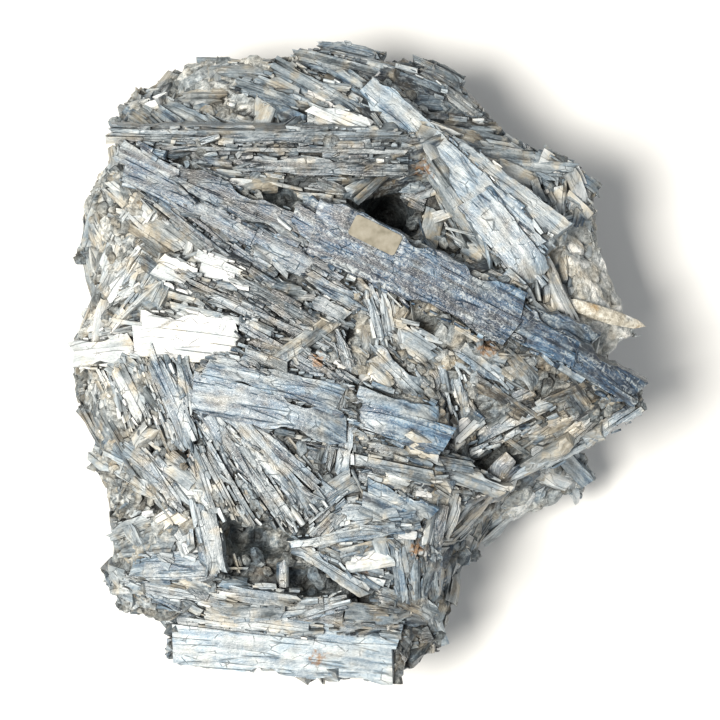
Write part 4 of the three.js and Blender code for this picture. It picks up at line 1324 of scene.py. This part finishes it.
def rusted(tree, place, base):
    """A colour with the spots of rust on it, their borders frayed by a few millimetres."""
    wander = add(tree, NOISE, None, Vector=place, Scale=1 / (2 * MM), Detail=4.0).outputs["Color"]
    centred = add(tree, VECTORS, {"operation": "SUBTRACT"}, i0=wander, i1=HALF).outputs[0]
    frayed = {"i0": centred, "i1": (12 * MM, 12 * MM, 12 * MM), "i2": place}
    strayed = add(tree, VECTORS, TIMES_PLUS, **frayed).outputs[0]
    for middle, radius in STAINS:
        spot = (Vector(middle) + SHIFT) * MM
        far = add(tree, VECTORS, {"operation": "DISTANCE"}, i0=strayed, i1=spot).outputs["Value"]
        ring = {"From_Min": 0.4 * radius * MM, "From_Max": radius * MM, "To_Min": 0.85, "To_Max": 0.0}
        share = add(tree, SPAN, None, Value=far, **ring).outputs[0]
        base = add(tree, BLEND, COLOURS, i0=share, i6=base, i7=colour("#8a6233")).outputs[2]
    return base


def painted_crevice_shade(tree, base, reach, closed, most, code):
    """A colour with painted shade in the crevices that ambient occlusion finds: how wide they are, how closed
    where the painted shade is darkest, how dark it gets.
    """
    hollow = add(tree, "ShaderNodeAmbientOcclusion", {"samples": 6}, Distance=reach * MM).outputs["AO"]
    share = add(tree, SPAN, None, Value=hollow, From_Min=closed, From_Max=0.85, To_Min=most, To_Max=0.0)
    return add(tree, BLEND, COLOURS, i0=share.outputs[0], i6=base, i7=colour(code)).outputs[2]


def finish_shader(tree, shader, base, rough, relief, strength, depth, ior):
    """Gives a stone's shader its colour, its roughness and its relief, whose depth is in millimetres."""
    tree.links.new(base, shader.inputs["Base Color"])
    tree.links.new(rough, shader.inputs["Roughness"])
    bump = add(tree, "ShaderNodeBump", None, Height=relief, Strength=strength, Distance=depth * MM)
    tree.links.new(bump.outputs[0], shader.inputs["Normal"])
    shader.inputs["IOR"].default_value = ior


def kyanite():
    """Kyanite: flat blades grown in rock and split along their cleavage. Pearly to glassy, mottled in soft
    patches of blue, grey and white that run along the blade, with hairline partings, and with painted shade in
    its crevices, on the blades' sides and ends and on the floors of the gaps between their strips."""
    made, tree, shader = new_material("kyanite")
    mapped = add(tree, "ShaderNodeUVMap", {"uv_map": "along_across"}).outputs[0]
    place = add(tree, "ShaderNodeTexCoord").outputs["Object"]
    pale, blue, tan = stone_look(tree)
    groove_shade = add(tree, "ShaderNodeAttribute", {"attribute_name": "groove_shade"}).outputs["Fac"]

    # patches, streaks and flecks drawn out along the blade
    noises = []
    for long, wide, detail, turn in BLADE_NOISES:
        drawn = {"Vector": mapped, "Scale": (1 / long, 1 / wide, 1), "Location": (turn,) * 3}
        drawn = add(tree, "ShaderNodeMapping", None, **drawn).outputs[0]
        noises.append(add(tree, NOISE, None, Vector=drawn, Scale=1.0, Detail=detail).outputs[0])
    patch, streak, fleck, hair, cloud, scuff = noises
    mottle = -1.62
    for pattern, strength in ((patch, 1.25), (streak, 1.0), (fleck, 0.6), (hair, 0.3)):
        mottle = add(tree, MATHS, TIMES_PLUS, i0=pattern, i1=strength, i2=mottle).outputs[0]
    much = add(tree, SPAN, None, Value=pale, From_Min=0.5, From_Max=0.85, To_Min=1.0, To_Max=0.5).outputs[0]
    tone = add(tree, MATHS, TIMES_PLUS_IN_RANGE, i0=mottle, i1=much, i2=pale).outputs[0]
    grey_colour, blue_colour, tan_colour = stone_colours(tree, tone)

    # clouds of blue, and tan where soil has stained the stone, less on the blue
    much = add(tree, SPAN, None, Value=cloud, From_Min=0.36, From_Max=0.6, To_Min=0.2, To_Max=1.4).outputs[0]
    share = add(tree, MATHS, TIMES_IN_RANGE, i0=blue, i1=much).outputs[0]
    base = add(tree, BLEND, COLOURS, i0=share, i6=grey_colour, i7=blue_colour).outputs[2]
    soil = noise_in_place(tree, place, 7, 5.0)
    much = add(tree, SPAN, None, Value=soil, From_Min=0.4, From_Max=0.62, To_Min=0.2, To_Max=1.5).outputs[0]
    stain = add(tree, SPAN, None, Value=soil, From_Min=0.5, From_Max=0.66, To_Min=0.0, To_Max=0.8).outputs[0]
    least = add(tree, SPAN, None, Value=blue, From_Min=0.2, From_Max=0.8, To_Min=1.0, To_Max=0.25).outputs[0]
    stain = add(tree, MATHS, TIMES, i0=stain, i1=least).outputs[0]
    share = add(tree, MATHS, TIMES_PLUS_IN_RANGE, i0=tan, i1=much, i2=stain).outputs[0]
    base = add(tree, BLEND, COLOURS, i0=share, i6=base, i7=tan_colour).outputs[2]

    # a net of pale veins, mostly on the blue
    wander = add(tree, NOISE, None, Vector=mapped, Scale=0.3, Detail=2.0).outputs["Color"]
    strayed = add(tree, VECTORS, TIMES_PLUS, i0=wander, i1=(5, 5, 5), i2=mapped).outputs[0]
    vein = cell_borders(tree, strayed, (15, 7), (0, 0, 0), 0.09, 0.75)
    much = add(tree, SPAN, None, Value=streak, From_Min=0.42, From_Max=0.56).outputs[0]
    share = add(tree, MATHS, TIMES, i0=vein, i1=much).outputs[0]
    much = add(tree, SPAN, None, Value=blue, From_Min=0.2, From_Max=0.8, To_Min=0.15, To_Max=1.0).outputs[0]
    share = add(tree, MATHS, TIMES, i0=share, i1=much).outputs[0]
    base = add(tree, BLEND, COLOURS, i0=share, i6=base, i7=colour("#bdc5c6")).outputs[2]

    # pale scuffs where the face is bruised
    share = add(tree, SPAN, None, Value=scuff, From_Min=0.58, From_Max=0.65, To_Min=0.0, To_Max=0.22)
    base = add(tree, BLEND, COLOURS, i0=share.outputs[0], i6=base, i7=colour("#c6ced1")).outputs[2]

    # hairline partings along the blade, and short ones across it, and painted shade on the blades' sides and
    # ends and on the floors of the gaps between their strips
    seam = cell_borders(tree, mapped, (48, 4), (0, 0, 0), 0.045, 1.0)
    crack = cell_borders(tree, mapped, (7, 4.5), (3, 8, 0), 0.03, 1.0)
    seldom = add(tree, SPAN, None, Value=patch, From_Min=0.52, From_Max=0.62).outputs[0]
    crack = add(tree, MATHS, TIMES, i0=crack, i1=seldom).outputs[0]
    seldom = add(tree, SPAN, None, Value=cloud, From_Min=0.47, From_Max=0.56).outputs[0]
    seam = add(tree, MATHS, TIMES, i0=seam, i1=seldom).outputs[0]
    lines = add(tree, MATHS, {"operation": "MAXIMUM"}, i0=seam, i1=crack).outputs[0]
    # painted shade from the groove marks, on the blades' sides, ends and gap floors
    dark = add(tree, MATHS, {"operation": "MAXIMUM"}, i0=lines, i1=groove_shade).outputs[0]
    share = add(tree, MATHS, TIMES, i0=dark, i1=0.66).outputs[0]
    base = add(tree, BLEND, COLOURS, i0=share, i6=base, i7=colour("#2a2f32")).outputs[2]
    base = rusted(tree, place, base)
    # painted shade: the crevices that ambient occlusion finds are darkened
    base = painted_crevice_shade(tree, base, 5, 0.15, 0.8, "#24282a")

    rough = add(tree, SPAN, None, Value=fleck, From_Min=0.3, From_Max=0.7, To_Min=0.26, To_Max=0.55)
    relief = add(tree, MATHS, TIMES, i0=fleck, i1=0.9).outputs[0]
    for pattern, strength in ((streak, 0.4), (hair, 0.55), (scuff, 0.6)):
        relief = add(tree, MATHS, TIMES_PLUS, i0=pattern, i1=strength, i2=relief).outputs[0]
    relief = add(tree, MATHS, {"operation": "SUBTRACT"}, i0=relief, i1=dark).outputs[0]
    finish_shader(tree, shader, base, rough.outputs[0], relief, 0.85, 0.3, 1.72)
    return made


def matrix_rock():
    """The mica and quartz rock that the blades grew in: rough and granular, grey to tan, with rust in soft
    patches and painted shade in the crevices."""
    made, tree, shader = new_material("matrix_rock")
    place = add(tree, "ShaderNodeTexCoord").outputs["Object"]
    pale, blue, tan = stone_look(tree)

    # clouds of 6 mm, clots of 1.6 mm and grains of half a millimetre
    cloud = noise_in_place(tree, place, 6, 3.0)
    clot = noise_in_place(tree, place, 1.6, 3.0)
    grain = noise_in_place(tree, place, 0.5, 1.0)
    tone = pale
    for pattern, strength in ((cloud, 0.9), (clot, 1.0), (grain, 0.5)):
        tone = add(tree, MATHS, TIMES_PLUS, i0=pattern, i1=strength, i2=tone).outputs[0]
    tone = add(tree, MATHS, {"operation": "SUBTRACT", "use_clamp": True}, i0=tone, i1=1.25).outputs[0]
    grey_colour, blue_colour, tan_colour = stone_colours(tree, tone)

    much = add(tree, SPAN, None, Value=cloud, From_Min=0.4, From_Max=0.6, To_Min=0.1, To_Max=1.4).outputs[0]
    share = add(tree, MATHS, TIMES_IN_RANGE, i0=blue, i1=much).outputs[0]
    base = add(tree, BLEND, COLOURS, i0=share, i6=grey_colour, i7=blue_colour).outputs[2]
    soil = noise_in_place(tree, place, 9, 4.0)
    much = add(tree, SPAN, None, Value=soil, From_Min=0.4, From_Max=0.6, To_Min=0.4, To_Max=1.5).outputs[0]
    share = add(tree, MATHS, TIMES_IN_RANGE, i0=tan, i1=much).outputs[0]
    base = add(tree, BLEND, COLOURS, i0=share, i6=base, i7=tan_colour).outputs[2]
    much = add(tree, SPAN, None, Value=soil, From_Min=0.6, From_Max=0.75, To_Min=0.0, To_Max=0.55).outputs[0]
    share = add(tree, MATHS, TIMES_IN_RANGE, i0=tan, i1=much).outputs[0]
    base = add(tree, BLEND, COLOURS, i0=share, i6=base, i7=colour("#b9924f")).outputs[2]
    base = rusted(tree, place, base)
    # painted shade: the crevices that ambient occlusion finds are darkened
    base = painted_crevice_shade(tree, base, 6, 0.2, 0.85, "#282622")

    rough = add(tree, SPAN, None, Value=grain, From_Min=0.35, From_Max=0.65, To_Min=0.45, To_Max=0.8)
    relief = add(tree, MATHS, TIMES_PLUS, i0=clot, i1=2.2, i2=grain).outputs[0]
    finish_shader(tree, shader, base, rough.outputs[0], relief, 0.9, 0.45, 1.55)
    return made


def old_paper():
    """Rag paper, glued on and aged: cream gone grey-brown, with fibres, foxing and no gloss."""
    made, tree, shader = new_material("old_paper")
    place = add(tree, "ShaderNodeTexCoord").outputs["Object"]
    fibres = noise_in_place(tree, place, 0.5, 3.0)
    stains = noise_in_place(tree, place, 4, 4.0)
    base = add(tree, "ShaderNodeValToRGB", None, Fac=stains)
    colour_stops(base, [(0.3, "#7d7868"), (0.5, "#999384"), (0.7, "#a5a092")])
    share = add(tree, SPAN, None, Value=fibres, From_Min=0.4, From_Max=0.75, To_Max=0.3).outputs[0]
    mixed = add(tree, BLEND, COLOURS, i0=share, i6=base.outputs[0], i7=colour("#7d7564"))
    tree.links.new(mixed.outputs[2], shader.inputs["Base Color"])
    shader.inputs["Roughness"].default_value = 0.85
    bump = add(tree, "ShaderNodeBump", None, Height=fibres, Strength=0.4, Distance=0.1 * MM)
    tree.links.new(bump.outputs[0], shader.inputs["Normal"])
    return made


def studio_floor():
    """A matt pale floor."""
    made, _, shader = new_material("studio_floor")
    shader.inputs["Base Color"].default_value = colour("#f2f2f0")
    shader.inputs["Roughness"].default_value = 0.9
    return made


# --- Camera, light and floor ----------------------------------------------------------------------


def place_camera():
    """Looks down steeply on the cluster from the near side, from about a metre away."""
    lens = bpy.data.cameras.new("camera")
    lens.lens = CAMERA_LENS
    camera = bpy.data.objects.new("camera", lens)
    bpy.context.scene.collection.objects.link(camera)
    tilt = math.radians(CAMERA_ELEVATION)
    back = Vector((0, -math.cos(tilt), math.sin(tilt)))
    middle = (SHIFT + Vector(CAMERA_AIM)) * MM
    camera.location = middle + back * CAMERA_DISTANCE
    camera.rotation_euler = (-back).to_track_quat("-Z", "Y").to_euler()
    bpy.context.scene.camera = camera


def area_light(name, way, distance, size, power, tint):
    """A soft square lamp that shines on the cluster from a way off."""
    lamp = bpy.data.lights.new(name, "AREA")
    lamp.size = size
    lamp.energy = power
    lamp.color = colour(tint)[:3]
    holder = bpy.data.objects.new(name, lamp)
    bpy.context.scene.collection.objects.link(holder)
    towards = Vector(way).normalized()
    holder.location = Vector((0, 0, 60)) * MM + towards * distance
    holder.rotation_euler = (-towards).to_track_quat("-Z", "Y").to_euler()


def lay_floor():
    """A wide plain floor at the height that the cluster rests at."""
    deselect()
    bpy.ops.mesh.primitive_plane_add(size=4)
    floor = bpy.context.object
    floor.name = "floor"
    floor.data.materials.append(studio_floor())


def light_room():
    """Plain pale surroundings, and the tone curve that keeps the colours as they are."""
    world = bpy.data.worlds.new("surroundings")
    world.use_nodes = True
    world.node_tree.nodes["Background"].inputs["Color"].default_value = colour("#f4f6f8")
    world.node_tree.nodes["Background"].inputs["Strength"].default_value = SURROUND_STRENGTH
    bpy.context.scene.world = world
    bpy.context.scene.view_settings.view_transform = "Standard"
    area_light("key", KEY_WAY, KEY_DISTANCE, KEY_SIZE, KEY_POWER, "#fffaf2")
    area_light("fill", FILL_WAY, FILL_DISTANCE, FILL_SIZE, FILL_POWER, "#eef4ff")


# --- Making ---------------------------------------------------------------------------------------


def main():
    place_camera()
    light_room()
    lay_floor()

    stone = kyanite()
    matrix = matrix_rock()
    shards = [shard_master(cuts, 0.05, 20 + i) for i, cuts in enumerate(SHARDS)]
    needles = [shard_master(cuts, 0.04, 40 + i) for i, cuts in enumerate(NEEDLES)]

    blades = large_blades()
    finish_stone(grown_blades("large_blades", blades, 100, LARGE_BUILD), stone)

    skin = calm_skin()
    plots = edge_splinters(blades, skin, len(shards + needles), seeded(61))
    finish_stone(laid_shards("edge_splinters", shards + needles, plots), stone)

    rock = rock_body(blades)
    finish_stone(rock, matrix)

    plots = lumps_on(spots_on(rock, LUMP_TRIES, seeded(51)), skin, blades, seeded(52))
    middle, tip, size, look = SPIKE
    plots.append((SPIKE_KIND, in_frame(middle), axes_of(middle, tip, 0), size, look))
    lumps = laid_shards("matrix_lumps", [lump_master(*lump) for lump in LUMP_KINDS], plots)
    deselect()
    lumps.select_set(True)
    bpy.context.view_layer.objects.active = lumps
    bpy.ops.object.shade_smooth_by_angle(angle=math.radians(LUMP_SMOOTHING))
    finish_stone(lumps, matrix)

    broad = field_blades(spots_on(rock, BROAD_TRIES, seeded(18)), skin, blades, seeded(19), *BROAD_SIZES)
    for name, upper in (("broad_blades", True), ("under_blades", False)):
        some = [blade for blade in broad if (blade[0][2] > FLANK_TOP) == upper]
        finish_stone(grown_blades(name, some, 1500, BROAD_BUILD), stone)

    small = field_blades(spots_on(rock, SMALL_TRIES, seeded(28)), skin, blades, seeded(29), *SMALL_SIZES)
    finish_stone(grown_blades("small_blades", small, 3500, SMALL_BUILD), stone)

    plots = shards_on(spots_on(rock, SHARD_TRIES, seeded(8)), skin, blades, shards, seeded(9), *SHARD_SIZES)
    finish_stone(laid_shards("shards", shards, plots), stone)

    spots = spots_on(rock, NEEDLE_TRIES, seeded(21))
    spots = spots[spots[:, 2] > NEEDLE_FLOOR]
    plots = shards_on(spots, skin, blades, needles, seeded(34), *NEEDLE_SIZES)
    finish_stone(laid_shards("needles", needles, plots), stone)

    finish_piece(paper_label(), "paper_label", old_paper())


def finish_stone(piece, material):
    """Gives a piece of the stone its material and its body, and hides the CAD cluster that it stands for."""
    finish_piece(piece, "kyanite_cluster", material)


def finish_piece(piece, node, material):
    """Gives a piece its material and its body, and hides the CAD node that it stands for."""
    piece.data.materials.append(material)
    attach(piece, "root")
    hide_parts(node)


main()
